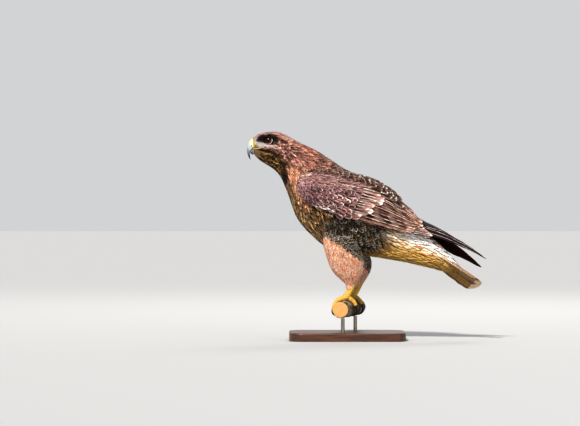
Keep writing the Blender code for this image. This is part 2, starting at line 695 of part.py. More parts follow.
def tail_feathers(parts):
    """Six pairs of tail feathers, the middle pair on top and each next one lower and further out."""
    aft = np.array((math.cos(TAIL_SLOPE), 0.0, -math.sin(TAIL_SLOPE)))
    up = np.array((math.sin(TAIL_SLOPE), 0.0, math.cos(TAIL_SLOPE)))
    made = []
    for side in (-1, 1):
        for k in range(6):
            fan = math.radians(1.0 + 0.75 * k)
            length = TAIL_LENGTH - 1.1 * k * k * 0.35
            drop = TAIL_STACK * k

            def surface(v, u, depth):
                run = TAIL_FEATHER_START + (length - TAIL_FEATHER_START) * v
                outward = max(run * math.sin(fan) + u, 0.4)
                height = -TAIL_ARCH * outward**2 - drop - depth + 3.0
                across = np.array((0.0, side * math.cos(TAIL_ROLL), 0.0)) + up * side * math.sin(TAIL_ROLL)
                lift = up * math.cos(TAIL_ROLL) - np.array((0.0, math.sin(TAIL_ROLL), 0.0))
                return np.array(TAIL_ROOT) + aft * run + across * outward + lift * height

            steps = (0.0, 0.3, 0.6, 0.84, 0.96, 1.0)
            widths = (8.0, 14.0, 17.0, 17.5, 13.0, 6.5)
            made.append(vane(surface, widths, steps, 0.75, parts, columns=(-1.0, 1.0)))
    return made


def perch_frame(side):
    """The point of the perch's axis under a foot, the way along it and the way forward across it."""
    along = np.array((math.sin(PERCH_TURN), math.cos(PERCH_TURN), 0.0))
    forward = np.array((-math.cos(PERCH_TURN), math.sin(PERCH_TURN), 0.0))
    reach = side * FOOT_SPACING / 2 / math.cos(PERCH_TURN)
    return np.array((PERCH_X, 0.0, -PERCH_RADIUS)) + along * reach, along, forward


def round_perch(side, angle, distance, shift):
    """A point round the perch: angle in degrees forward from the top, distance from the axis."""
    middle, along, forward = perch_frame(side)
    turn = math.radians(angle)
    out = forward * math.sin(turn) + np.array((0.0, 0.0, 1.0)) * math.cos(turn)
    return middle + out * distance + along * shift * -side


def make_thigh(side, name, parts):
    """The feathered thigh, from the flank to the trousers' hem."""
    offset = perch_frame(side)[0][0] - perch_frame(-1)[0][0]
    rings = []
    for s in np.linspace(0.0, len(THIGH) - 1, 11):
        x, y, z, half_length, half_width = spline(THIGH, s)
        centre = np.array((x + offset * smoothstep(146.0, 70.0, z), y * side, z))
        rings.append([
            centre + (half_length * math.cos(a), half_width * math.sin(a), 0.0)
            for a in (2 * math.pi * k / 20 for k in range(20))
        ])
    thigh = loft(name, rings, parts, "feather_rufous")
    combine(thigh, [torso_cutter(parts)], "DIFFERENCE")
    return rings


def toe_tube(side, toe, parts, grow=0.0):
    """A toe that lies round the perch, grown by a gap where it is a cutter."""
    _, first, last, near, far = toe
    clear = PERCH_RADIUS + GAP
    share = np.linspace(0.0, 1.0, 6)
    radii = TOE_BASE_RADIUS + (TOE_TIP_RADIUS - TOE_BASE_RADIUS) * share
    angles = first * 0.3 + (last - first * 0.3) * share
    shifts = near + (far - near) * share
    path = [round_perch(side, a, clear + r, s) for a, r, s in zip(angles, radii, shifts)]
    path[-1] = path[-1] + unit(path[-1] - path[-2]) * grow
    return tube("toe", path, radii + grow, parts, "leg_skin")


def claw_tube(side, name, toe, parts):
    """A curved claw from inside its toe, cut to meet the toe's end."""
    word, first, last, near, far = toe
    clear = PERCH_RADIUS + GAP
    sweep = CLAW_SWEEP[word]
    share = np.linspace(0.0, 1.0, 7)
    start = last - math.copysign(5.0, last)
    radii = 3.0 * (1 - share) ** 0.75 + 0.35
    lift = TOE_TIP_RADIUS + (0.6 - TOE_TIP_RADIUS) * share + CLAW_ARCH * np.sin(math.pi * share)
    slope = (far - near) / (last - first)
    path = [
        round_perch(side, start + sweep * v, clear + rise, far + slope * sweep * v * 0.5)
        for v, rise in zip(share, lift)
    ]
    claw = tube(f"claw_{name}_{word}", path, radii, parts, "claw", resolution=1)
    return combine(claw, [toe_tube(side, toe, parts, GAP)], "DIFFERENCE")


def make_foot(side, name, thigh_rings, parts):
    """The bare shank, the toes that grip the perch, and their claws."""
    ankle = round_perch(side, 0.0, PERCH_RADIUS + GAP + TOE_BASE_RADIUS, 0.0)
    hock = ankle + HOCK_FROM_FOOT
    for toe in TOES:
        claw_tube(side, name, toe, parts)
    foot = ball(f"foot_{name}", ankle, PAD_RADII, parts, "leg_skin", 12, 8)
    combine(foot, [toe_tube(side, toe, parts) for toe in TOES], "UNION")
    share = np.linspace(0.05, 1.0, 7)
    radii = TARSUS_RADIUS + 1.6 * (2 * share - 1) ** 2
    path = [ankle + (hock - ankle) * v for v in share]
    shank = tube(f"tarsus_{name}", path, radii, parts, "leg_skin", resolution=2)
    grown = [[p + unit(p - np.mean(ring, axis=0)) * GAP for p in ring] for ring in thigh_rings]
    grown[-1] = [p - (0.0, 0.0, GAP) for p in grown[-1]]
    cutters = [loft("thigh_cutter", grown, parts, "leg_skin")]
    cutters.append(ball("pad_cutter", ankle, np.add(PAD_RADII, GAP), parts, "leg_skin", 12, 8))
    cutters += [toe_tube(side, toe, parts, GAP) for toe in TOES]
    combine(shank, cutters, "DIFFERENCE")


def make_perch(parts):
    """The cut branch, straight and round."""
    along = np.array((math.sin(PERCH_TURN), math.cos(PERCH_TURN), 0.0))
    up = np.array((0.0, 0.0, 1.0))
    across = np.cross(along, up)
    centre = np.array((PERCH_X, 0.0, -PERCH_RADIUS))
    rings = []
    for place, radius in ((-0.5, 0.93), (-0.488, 1.0), (0.0, 1.0), (0.488, 1.0), (0.5, 0.93)):
        rings.append([
            centre + along * place * PERCH_LENGTH + PERCH_RADIUS * radius * (
                up * math.cos(a) + across * math.sin(a)
            )
            for a in (2 * math.pi * k / 28 for k in range(28))
        ])
    loft("perch", rings, parts, "bark")


def make_stand(parts):
    """The flat base and the two short rods under the perch."""
    shape = bmesh.new()
    bmesh.ops.create_cube(shape, size=1.0)
    bmesh.ops.scale(shape, vec=(BASE_LENGTH * MM, BASE_WIDTH * MM, BASE_THICK * MM), verts=shape.verts)
    bmesh.ops.translate(shape, vec=(0.0, 0.0, BASE_THICK * MM / 2), verts=shape.verts)
    upright = [e for e in shape.edges if abs(e.verts[0].co.z - e.verts[1].co.z) > BASE_THICK * MM / 2]
    bmesh.ops.bevel(
        shape, geom=upright, offset=BASE_CORNER * MM, segments=6, profile=0.5, affect="EDGES", material=-1
    )
    rim = [e for e in shape.edges if min(v.co.z for v in e.verts) > BASE_THICK * MM * 0.9]
    bmesh.ops.bevel(
        shape, geom=rim, offset=BASE_EDGE * MM, segments=3, profile=0.5, affect="EDGES", material=-1
    )
    mesh = bpy.data.meshes.new("stand_base")
    shape.to_mesh(mesh)
    shape.free()
    add_object("stand_base", mesh, parts, "stand_wood")
    for side, name in ((-1, "stand_rod_left"), (1, "stand_rod_right")):
        x = PERCH_X + side * ROD_SPACING / 2 * math.sin(PERCH_TURN)
        y = side * ROD_SPACING / 2 * math.cos(PERCH_TURN)
        low = BASE_THICK + GAP - PERCH_TOP
        high = -2 * PERCH_RADIUS - GAP
        tube(name, [(x, y, low), (x, y, high)], [ROD_RADIUS] * 2, parts, "stand_metal", resolution=4)


def main():
    """Builds every part of the bird, its perch and its stand."""
    parts = clear_scene()
    make_head(parts)
    make_bill(parts)
    make_body(parts)
    for side, name in ((-1, "left"), (1, "right")):
        make_wing(side, f"wing_{name}", parts)
        rings = make_thigh(side, f"thigh_{name}", parts)
        make_foot(side, name, rings, parts)
    make_tail(parts)
    make_perch(parts)
    make_stand(parts)


main()
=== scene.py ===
"""The looks of a red-tailed hawk at life size, perched on a cut branch on a plain display stand.

The bird faces -X and its left side is towards -Y. Tables are in millimetres from the top of the
perch, and the meshes are in metres from the middle of the stand's underside, as the frame is.
"""

import logging
import math
from dataclasses import dataclass, field
from enum import Enum
from typing import Any, Callable, Optional, Sequence

import bmesh
import bpy
import numpy as np
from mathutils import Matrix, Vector, noise
from mathutils.kdtree import KDTree

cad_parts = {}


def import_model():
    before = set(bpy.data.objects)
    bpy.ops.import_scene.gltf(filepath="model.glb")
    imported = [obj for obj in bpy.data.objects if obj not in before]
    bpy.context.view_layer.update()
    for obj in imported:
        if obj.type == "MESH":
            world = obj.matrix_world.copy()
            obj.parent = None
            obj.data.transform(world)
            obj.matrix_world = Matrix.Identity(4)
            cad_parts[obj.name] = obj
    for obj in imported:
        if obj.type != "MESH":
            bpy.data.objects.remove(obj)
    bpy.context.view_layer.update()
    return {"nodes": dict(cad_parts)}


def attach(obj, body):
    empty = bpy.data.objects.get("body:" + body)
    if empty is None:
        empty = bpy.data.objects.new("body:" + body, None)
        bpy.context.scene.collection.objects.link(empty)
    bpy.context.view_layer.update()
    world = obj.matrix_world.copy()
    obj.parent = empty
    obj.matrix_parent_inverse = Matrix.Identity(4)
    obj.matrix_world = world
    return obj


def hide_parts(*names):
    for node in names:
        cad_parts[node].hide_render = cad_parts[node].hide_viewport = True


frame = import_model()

LOG = logging.getLogger("hawk")
Array = np.ndarray
Surface = Callable[[Array, Array, Array], Array]
Net = Callable[[Array, Array], Array]
Ring = Callable[[float, int], tuple[Array, Array, float]]
Colour = tuple[float, float, float]
Point = tuple[float, float, float]
Table = tuple[tuple[float, ...], ...]

MM = 0.001
TURN = 2 * math.pi


@dataclass(frozen=True)
class PerchSizes:
    """The perch over the stand's base, and how far apart the feet hold it."""

    base_thick: float = 16.0
    clearance: float = 28.0
    radius: float = 16.0
    turn: float = math.radians(13.0)
    x: float = 4.0
    length: float = 164.0
    foot_spacing: float = 64.0
    bark_sink: float = 0.7

    @property
    def top(self) -> float:
        """Height of the perch's top over the floor."""
        return self.base_thick + self.clearance + 2 * self.radius


@dataclass(frozen=True)
class BodySizes:
    """The body seen from the side, as rows: top x and z, underside x and z, half width."""

    rows: Table = (
        (-178.5, 308.2, -176.5, 276.0, 10.5), (-174.5, 311.8, -170.0, 269.5, 15.5),
        (-166.0, 315.8, -162.5, 263.3, 20.5), (-154.0, 318.9, -154.0, 258.0, 24.5),
        (-142.0, 320.0, -146.0, 253.3, 27.0), (-130.5, 319.0, -138.5, 248.0, 28.5),
        (-118.5, 314.8, -132.0, 241.5, 29.5), (-105.0, 307.0, -126.0, 234.0, 30.5),
        (-89.0, 298.5, -121.0, 224.0, 32.5), (-70.3, 289.8, -115.5, 210.5, 36.0),
        (-49.4, 278.3, -109.5, 194.5, 42.0), (-28.5, 264.5, -103.5, 176.5, 48.0),
        (-7.6, 250.5, -95.5, 157.0, 52.0), (15.2, 238.5, -84.0, 140.5, 54.0),
        (36.0, 225.0, -67.5, 123.5, 54.0), (56.0, 210.0, -47.5, 106.5, 52.0),
        (76.0, 193.0, -20.8, 94.0, 48.0), (94.0, 175.5, 11.5, 87.5, 42.5),
        (111.0, 159.0, 43.7, 82.6, 36.5), (127.3, 145.0, 76.0, 77.6, 31.5),
        (144.4, 131.5, 106.4, 72.2, 28.0), (163.0, 117.5, 134.9, 65.9, 26.0),
        (180.0, 101.0, 159.6, 60.5, 25.0), (197.0, 81.0, 180.0, 56.0, 23.5),
        (216.0, 59.5, 207.0, 50.0, 17.0),
    )
    head_end: float = 6.3
    end: float = 24.0
    head_squareness: float = 2.5
    trunk_squareness: float = 2.15


@dataclass(frozen=True)
class FaceSizes:
    """The face: raised and sunken forms (start, end, radius, height), the eye's hollow, brow and gape."""

    forms: tuple[tuple[Any, ...], ...] = (
        ((-169.0, 15.0, 310.5), (-136.0, 26.0, 309.0), 4.2, 3.6),
        ((-147.5, 23.0, 302.0), (-147.5, 23.0, 302.0), 8.0, -3.4),
        ((-169.0, 15.0, 297.0), (-160.0, 20.0, 299.0), 5.0, -1.8),
        ((-136.0, 27.0, 285.0), (-130.0, 28.0, 280.0), 13.0, 1.2),
    )
    socket: Point = (-148.0, 22.0, 302.0)
    socket_radius: float = 10.0
    socket_depth: float = 2.6
    brow: Table = (
        (-164.0, 15.2, 306.2), (-158.5, 19.0, 308.4), (-152.0, 21.9, 309.6), (-145.5, 23.4, 309.6),
        (-139.5, 23.9, 308.4), (-135.5, 23.6, 306.8),
    )
    gape_stations: Point = (0.02, 1.2, 2.9)
    gape_heights: Point = (286.4, 286.9, 289.6)
    gape_radius: float = 0.62


@dataclass(frozen=True)
class WingSizes:
    """A folded wing, as rows: lower edge x, y, z, upper edge x, y, z and bulge. The last row is the tip."""

    rows: Table = (
        (-97.9, 50.0, 220.4, -95.5, 47.0, 231.0, 3.5), (-92.2, 56.0, 201.4, -83.6, 44.0, 241.3, 11.0),
        (-77.9, 59.5, 188.1, -60.8, 39.0, 247.5, 16.0), (-55.1, 60.0, 174.8, -34.2, 33.0, 248.0, 18.5),
        (-26.6, 59.5, 163.8, -5.7, 26.0, 243.2, 19.5), (7.6, 58.0, 153.9, 22.8, 18.5, 237.0, 19.0),
        (43.7, 55.0, 144.4, 50.4, 12.0, 229.0, 17.5), (81.7, 51.5, 134.9, 78.0, 8.0, 214.0, 14.5),
        (115.9, 47.5, 129.6, 104.6, 5.5, 193.5, 8.0), (146.3, 43.0, 127.3, 132.6, 4.5, 170.5, 4.5),
        (176.7, 38.0, 119.7, 160.6, 4.5, 148.0, 3.0), (205.2, 36.0, 108.0, 191.9, 6.0, 125.5, 1.5),
        (235.0, 30.0, 94.0, 226.0, 9.5, 106.5, 1.0), (266.0, 20.0, 77.0, 262.0, 12.0, 82.0, 0.3),
    )
    end: float = 13.0
    shoulder: Point = (-62.0, 0.0, 216.0)
    far_droop: float = math.radians(2.9)
    far_twist: float = math.radians(-24.0)
    twist_axis: Point = (184.0, -14.0, -90.0)
    twist_span: tuple[float, float] = (9.6, 11.6)


@dataclass(frozen=True)
class TailSizes:
    """The fan of the tail: its root, its slope down, and how it rolls, arches and stacks."""

    root: Point = (62.7, 0.0, 155.0)
    slope: float = math.radians(33.9)
    roll: float = math.radians(-20.0)
    length: float = 229.0
    arch: float = 0.0042
    stack: float = 1.3


@dataclass(frozen=True)
class ThighSizes:
    """Trousers of feathers, as rings: x, y, z, half length, half width."""

    rows: Table = (
        (-18.0, 29.0, 146.0, 22.0, 17.0), (-17.0, 30.0, 130.0, 27.0, 20.0), (-14.0, 31.0, 110.0, 32.0, 22.0),
        (-8.0, 32.0, 92.0, 34.0, 22.5), (-3.0, 32.5, 77.0, 34.5, 21.5), (0.0, 32.5, 63.0, 32.0, 19.0),
        (2.5, 32.5, 50.0, 26.0, 15.5), (5.0, 32.0, 38.5, 17.0, 11.5), (7.0, 32.0, 31.0, 10.5, 8.0),
    )
    end: float = 8.0


@dataclass(frozen=True)
class EyeSizes:
    """An eyeball and the lids round it."""

    centre: Point = (-147.5, 14.8, 302.6)
    radius: float = 9.0
    forward: float = math.radians(20.0)
    lid_out: float = 4.9
    lid_radius: float = 7.7


@dataclass(frozen=True)
class BillSizes:
    """Both halves of the bill, as rows: outline x and z, cutting edge x and z, half width."""

    upper: Table = (
        (-178.9, 307.3, -177.6, 287.3, 9.8), (-183.3, 303.8, -179.6, 284.9, 9.2),
        (-186.7, 299.2, -181.2, 283.6, 8.2), (-189.0, 293.8, -182.6, 282.4, 6.8),
        (-190.1, 288.0, -183.6, 280.6, 5.2), (-190.0, 282.0, -184.2, 277.8, 3.9),
        (-188.6, 276.0, -184.3, 274.0, 2.7), (-186.4, 270.8, -183.9, 270.0, 1.6),
        (-183.8, 266.8, -183.2, 266.9, 0.5),
    )
    lower: Table = (
        (-176.7, 277.0, -177.5, 286.3, 8.6), (-179.0, 276.2, -179.8, 283.9, 7.4),
        (-181.0, 276.7, -181.6, 282.3, 5.4), (-182.6, 278.4, -183.0, 280.5, 2.6),
    )
    cere_end: float = 2.5
    cere_swell: float = 0.035
    nostril: Point = (-180.9, 8.9, 292.2)
    nostril_radii: Point = (1.9, 1.3, 1.5)


@dataclass(frozen=True)
class Toe:
    """A toe round the perch: its angles in degrees, its shifts along the perch, and its claw's sweep."""

    name: str
    first: float
    last: float
    near: float
    far: float
    reach: float


@dataclass(frozen=True)
class FootSizes:
    """The bare shank and the toes."""

    toes: tuple[Toe, ...] = (
        Toe("inner", 12.0, 86.0, 5.0, 15.0, 62.0), Toe("middle", 12.0, 112.0, 0.0, 0.5, 48.0),
        Toe("outer", 12.0, 96.0, -5.0, -17.0, 44.0), Toe("hallux", -12.0, -72.0, 1.0, 5.0, -68.0),
    )
    root_radius: float = 5.0
    tip_radius: float = 3.7
    shank_radius: float = 5.6
    hock: Point = (35.0, 0.0, 62.0)
    skin_gap: float = 0.3


PERCH, BODY, FACE, WING, TAIL = PerchSizes(), BodySizes(), FaceSizes(), WingSizes(), TailSizes()
THIGH, EYE, BILL, FOOT = ThighSizes(), EyeSizes(), BillSizes(), FootSizes()

# The width of a feather's patch on the skin's unwrap, and its corners across
PATCH = 0.003
SECTION = np.array((-1.0, 0.0, 1.0, 0.0))


def tone(red: float, green: float, blue: float) -> Colour:
    """A colour given as it looks on a screen, from 0 to 255, as linear light."""
    values = (red, green, blue)
    return tuple(((v / 255 + 0.055) / 1.055) ** 2.4 if v > 10 else v / 255 / 12.92 for v in values)


def world(points: Array) -> Array:
    """Millimetres from the top of the perch as metres from the stand's underside."""
    return (np.asarray(points, float) + (0.0, 0.0, PERCH.top)) * MM


def smooth(low: Any, high: Any, value: Any) -> Array:
    """0 below low, 1 above high and smooth between them, for numbers or arrays."""
    t = np.clip((np.asarray(value, float) - low) / (np.asarray(high, float) - low), 0.0, 1.0)
    return t * t * (3 - 2 * t)


def unit(vectors: Array) -> Array:
    """Vectors along the last axis at length 1."""
    vectors = np.asarray(vectors, float)
    return vectors / np.maximum(np.linalg.norm(vectors, axis=-1, keepdims=True), 1e-12)


def rows_at(table: Any, at: Array) -> Array:
    """A smooth curve through the rows of a table.

    Args:
        table: The rows.
        at: Fractional row numbers, of any shape.

    Returns:
        The row at each number, with the columns as the last axis.
    """
    table, last = np.asarray(table, float), len(table) - 1
    at = np.clip(np.asarray(at, float), 0.0, last)
    i = np.minimum(at.astype(int), last - 1)
    t = (at - i)[..., None]
    before, start, end, after = (table[np.clip(i + k, 0, last)] for k in (-1, 0, 1, 2))
    return 0.5 * (
        2 * start
        + (end - before) * t
        + (2 * before - 5 * start + 4 * end - after) * t**2
        + (3 * start - before - 3 * end + after) * t**3
    )


def turned(vectors: Array, axis: Array, angle: Array) -> Array:
    """Vectors turned about a unit axis, each by its own angle."""
    cos, sin = np.cos(angle)[..., None], np.sin(angle)[..., None]
    along = (vectors * axis).sum(-1, keepdims=True)
    return vectors * cos + np.cross(axis, vectors) * sin + axis * along * (1 - cos)


def sided(points: Array, side: int) -> Array:
    """Points of the +Y half moved to a side: -1 is the bird's left, 1 its right."""
    return np.asarray(points, float) * (1.0, side, 1.0)


def side_name(side: int) -> str:
    """A side as the bird has it."""
    return "left" if side < 0 else "right"


def from_top(angle: Array) -> Array:
    """Degrees from the body's top, 0 to 180, of angles round it."""
    return np.degrees(np.abs((angle + math.pi) % TURN - math.pi))


def in_plane(x: Array, z: Array) -> Array:
    """Points of the bird's middle plane."""
    return np.stack((x, np.zeros_like(x), z), -1)


def feather_line(angle: Array) -> Array:
    """Where the face's feathers start behind the cere, in rows of the body's table."""
    return 0.10 + 0.42 * np.exp(-(((from_top(angle) - 74) / 24) ** 2))


def eye_axis(side: int) -> Array:
    """The way that an eye looks: outwards and a little forwards."""
    return unit((-math.sin(EYE.forward), side * math.cos(EYE.forward), 0.06))


def face_relief(points: Array) -> Array:
    """How far the brow, eye hollow, lore and cheek raise points of the head."""
    mirrored = points * (1.0, 0.0, 1.0) + np.abs(points) * (0.0, 1.0, 0.0)
    total = np.zeros(points.shape[:-1])
    for start, end, radius, height in FACE.forms:
        start, run = np.array(start), np.subtract(end, start)
        share = np.clip(((mirrored - start) @ run) / max(run @ run, 1e-9), 0.0, 1.0)
        away = np.linalg.norm(mirrored - start - run * share[..., None], axis=-1)
        total += height * np.exp(-((away / radius) ** 2))
    away = np.linalg.norm(mirrored - FACE.socket, axis=-1)
    return total - FACE.socket_depth * np.exp(-((away / FACE.socket_radius) ** 4))


def trunk(station: Array, angle: Array, grow: Array) -> Array:
    """Points of the body from the bill's root to the tail's.

    Args:
        station: How far back, in rows of the body's table.
        angle: Round the body in radians, 0 at the top and a quarter turn at the left side.
        grow: How far outside the outline.

    Returns:
        The points in millimetres.
    """
    row = rows_at(BODY.rows, station)
    top, low = in_plane(row[..., 0], row[..., 1]), in_plane(row[..., 2], row[..., 3])
    centre, half_height = (top + low) / 2, np.linalg.norm(top - low, axis=-1)[..., None] / 2
    up, left = unit(top - low), np.array((0.0, -1.0, 0.0))
    roll = (TAIL.roll * smooth(17.5, 22.5, station))[..., None]
    up, left = up * np.cos(roll) + left * np.sin(roll), left * np.cos(roll) - up * np.sin(roll)
    more_square = BODY.head_squareness - BODY.trunk_squareness
    power = BODY.trunk_squareness + more_square * smooth(BODY.head_end + 1, 3.0, station)
    cos, sin = np.cos(angle), np.sin(angle)
    reach = (np.abs(cos) ** power + np.abs(sin) ** power) ** (-1 / power)
    out = up * (cos * reach)[..., None] * half_height + left * (sin * reach)[..., None] * row[..., 4:5]
    points = centre + out
    relief = face_relief(points) * (np.asarray(station) < BODY.head_end + 1)
    return points + unit(out) * (relief + grow)[..., None]


def thigh(side: int) -> Surface:
    """The surface of a leg's trousers, by row of its table, angle and growth."""
    offset = (side + 1) * PERCH.foot_spacing / 2 * math.tan(PERCH.turn)

    def surface(row_number: Array, angle: Array, grow: Array) -> Array:
        """Points by row, angle from the front towards the outer side, and growth."""
        row = rows_at(THIGH.rows, row_number)
        past = np.maximum(np.asarray(row_number, float) - THIGH.end, 0.0)
        centre = row[..., :3] + np.stack(
            (offset * smooth(146.0, 70.0, row[..., 2]) - 4.0 * past, 0 * past, -8.0 * past), -1
        )
        x = -np.cos(angle) * (row[..., 3] + grow - 2.5 * past)
        y = np.sin(angle) * (row[..., 4] + grow - 1.2 * past)
        return sided(centre + np.stack((x, y, 0 * x), -1), side)

    return surface


def wing(side: int) -> Surface:
    """The outer surface of a folded wing, by station, share across it and growth."""

    def outer(at: Array, across: Array) -> Array:
        """Points of the right wing before it droops."""
        row = rows_at(WING.rows, at)
        low, high, bulge = row[..., :3], row[..., 3:6], row[..., 6:7]
        chord, t = high - low, across[..., None]
        ahead, behind = np.minimum(at + 0.5, WING.end), np.maximum(at - 0.5, 0.0)
        along = rows_at(WING.rows, ahead) - rows_at(WING.rows, behind)
        out = unit(np.cross(along[..., :3], chord))
        out = out * np.where(out[..., 1:2] < 0, -1.0, 1.0)
        return low + chord * t + out * bulge * 4 * t * (1 - t)

    twist_axis = np.array(WING.twist_axis) / np.linalg.norm(WING.twist_axis)

    def surface(at: Array, across: Array, grow: Array) -> Array:
        """Points by station, share across from the lower edge, and growth."""
        at, across, grow = np.broadcast_arrays(np.clip(at, 0.0, WING.end), across, grow)
        step = 0.02
        point = outer(at, across)
        d_along = outer(np.minimum(at + step, WING.end), across) - outer(np.maximum(at - step, 0.0), across)
        normal = unit(np.cross(d_along, outer(at, across + step) - outer(at, across - step)))
        normal = normal * np.where(normal[..., 1:2] < 0, -1.0, 1.0)
        point = point + normal * grow[..., None]
        if side < 0:
            return sided(point, side)
        row = rows_at(WING.rows, at)
        middle = (row[..., :3] + row[..., 3:6]) / 2
        point = middle + turned(point - middle, twist_axis, WING.far_twist * smooth(*WING.twist_span, at))
        droop = np.full(at.shape, WING.far_droop)
        return WING.shoulder + turned(point - WING.shoulder, np.array((0.0, 1.0, 0.0)), droop)

    return surface


def around_perch(side: int, angle: Array, distance: Array, shift: Array) -> Array:
    """Points round the perch: degrees forward from its top, distance from its axis and shift along it."""
    along = np.array((math.sin(PERCH.turn), math.cos(PERCH.turn), 0.0))
    forward = np.array((-math.cos(PERCH.turn), math.sin(PERCH.turn), 0.0))
    middle = np.array((PERCH.x, 0.0, -PERCH.radius))
    middle = middle + along * side * PERCH.foot_spacing / 2 / math.cos(PERCH.turn)
    angle, distance, shift = (np.asarray(v, float)[..., None] for v in (angle, distance, shift))
    out = forward * np.sin(np.radians(angle)) + np.array((0.0, 0.0, 1.0)) * np.cos(np.radians(angle))
    return middle + out * distance - along * shift * side


# Materials


class Number:
    """A socket that holds a number, which Python's operators extend with Math nodes."""

    def __init__(self, tree: bpy.types.NodeTree, socket: bpy.types.NodeSocket) -> None:
        """Wraps a socket of a tree."""
        self.tree, self.socket = tree, socket

    def _math(self, operation: str, *values: Any) -> "Number":
        """A Math node on these values."""
        node = self.tree.nodes.new("ShaderNodeMath")
        node.operation = operation
        for place, value in enumerate(values):
            if isinstance(value, Number):
                self.tree.links.new(value.socket, node.inputs[place])
            else:
                node.inputs[place].default_value = value
        return Number(self.tree, node.outputs[0])

    def __add__(self, other: Any) -> "Number":
        """The sum."""
        return self._math("ADD", self, other)

    def __sub__(self, other: Any) -> "Number":
        """The difference."""
        return self._math("SUBTRACT", self, other)

    def __rsub__(self, other: Any) -> "Number":
        """The difference from another value."""
        return self._math("SUBTRACT", other, self)

    def __mul__(self, other: Any) -> "Number":
        """The product."""
        return self._math("MULTIPLY", self, other)

    def __truediv__(self, other: Any) -> "Number":
        """The quotient."""
        return self._math("DIVIDE", self, other)

    __radd__, __rmul__ = __add__, __mul__

    def size(self) -> "Number":
        """The value without its sign."""
        return self._math("ABSOLUTE", self)

    def sine(self) -> "Number":
        """The sine of the value in radians."""
        return self._math("SINE", self)

    def most(self, other: Any) -> "Number":
        """The larger of two values."""
        return self._math("MAXIMUM", self, other)

    def held(self) -> "Number":
        """The value kept between 0 and 1."""
        held = self._math("ADD", self, 0.0)
        held.socket.node.use_clamp = True
        return held


class Shading:
    """A material in the making: one Principled shader and the nodes before it."""

    def __init__(self, name: str, roughness: float, **plain: Any) -> None:
        """Starts a material.

        Args:
            name: The material's name.
            roughness: The shader's roughness.
            plain: Values of other sockets, with spaces in their names as underscores.
        """
        self.material = bpy.data.materials.new(name)
        self.material.use_nodes = True
        self.tree = self.material.node_tree
        self.shader = self.tree.nodes["Principled BSDF"]
        self.shader.inputs["Roughness"].default_value = roughness
        for key, value in plain.items():
            self.shader.inputs[key.replace("_", " ")].default_value = value

    def node(self, kind: str, settings: dict[str, Any], inputs: dict[Any, Any]) -> bpy.types.Node:
        """Adds a node.

        Args:
            kind: The node's type after ShaderNode.
            settings: Properties, which are set first.
            inputs: Values or links by socket name or number.

        Returns:
            The node.
        """
        node = self.tree.nodes.new("ShaderNode" + kind)
        for key, value in settings.items():
            setattr(node, key, value)
        for key, value in inputs.items():
            self.feed(node.inputs[key], value)
        return node

    def feed(self, socket: bpy.types.NodeSocket, value: Any) -> None:
        """Links a value to a socket, or sets it there."""
        if isinstance(value, Number):
            self.tree.links.new(value.socket, socket)
        elif isinstance(value, bpy.types.NodeSocket):
            self.tree.links.new(value, socket)
        elif socket.type == "RGBA":
            socket.default_value = (*value, 1.0)
        else:
            socket.default_value = value

    def number(self, socket: bpy.types.NodeSocket) -> Number:
        """A socket as a number."""
        return Number(self.tree, socket)

    def mix(self, factor: Any, first: Any, second: Any) -> bpy.types.NodeSocket:
        """One colour turning into another by a factor."""
        node = self.node("Mix", {"data_type": "RGBA"}, {0: factor, 6: first, 7: second})
        return node.outputs[2]

    def band(self, value: Any, low: Any, high: Any) -> Number:
        """0 below low, 1 above high and smooth between them."""
        inputs = {"Value": value, "From Min": low, "From Max": high}
        return self.number(self.node("MapRange", {"interpolation_type": "SMOOTHSTEP"}, inputs).outputs[0])

    def place(self, stretch: Sequence[float] = (1.0, 1.0, 1.0)) -> bpy.types.NodeSocket:
        """The object's own coordinates, stretched along its axes."""
        here = self.node("TexCoord", {}, {}).outputs["Object"]
        return self.node("Mapping", {}, {"Vector": here, "Scale": stretch}).outputs[0]

    def noise(self, scale: float, detail: float = 3.0, where: Any = None, rough: float = 0.5) -> Number:
        """Noise over the object's coordinates, or over others."""
        where = self.place() if where is None else where
        inputs = {"Vector": where, "Scale": scale, "Detail": detail, "Roughness": rough}
        return self.number(self.node("TexNoise", {}, inputs).outputs[0])

    def attribute(self, name: str) -> bpy.types.NodeSocket:
        """The colour in one of the mesh's own layers."""
        return self.node("Attribute", {"attribute_name": name}, {}).outputs["Color"]

    def parts(self, name: str) -> list[Number]:
        """The three numbers in one of the mesh's own layers."""
        split = self.node("SeparateColor", {}, {0: self.attribute(name)})
        return [self.number(split.outputs[k]) for k in range(3)]

    def vector(self, *values: Any) -> bpy.types.NodeSocket:
        """A vector from up to three numbers."""
        return self.node("CombineXYZ", {}, dict(enumerate(values))).outputs[0]

    def over(self, colour: Any, *layers: tuple[Any, Any]) -> Any:
        """A colour with others laid over it in turn, each by its factor."""
        for factor, above in layers:
            colour = self.mix(factor, colour, above)
        return colour

    def uv(self, name: str) -> list[Number]:
        """Both coordinates of one of the mesh's own maps."""
        found = self.node("UVMap", {"uv_map": name}, {}).outputs[0]
        parts = self.node("SeparateXYZ", {}, {"Vector": found})
        return [self.number(parts.outputs[k]) for k in (0, 1)]

    def finish(
        self, colour: Any, height: Optional[Number] = None, depth: float = 0.001
    ) -> bpy.types.Material:
        """Feeds the base colour and a bump.

        Args:
            colour: The base colour.
            height: What the bump follows.
            depth: How deep the bump is, in metres.

        Returns:
            The material.
        """
        self.feed(self.shader.inputs["Base Color"], colour)
        if height is not None:
            bump = self.node("Bump", {}, {"Height": height, "Distance": depth, "Strength": 1.0})
            self.feed(self.shader.inputs["Normal"], bump.outputs[0])
        return self.material


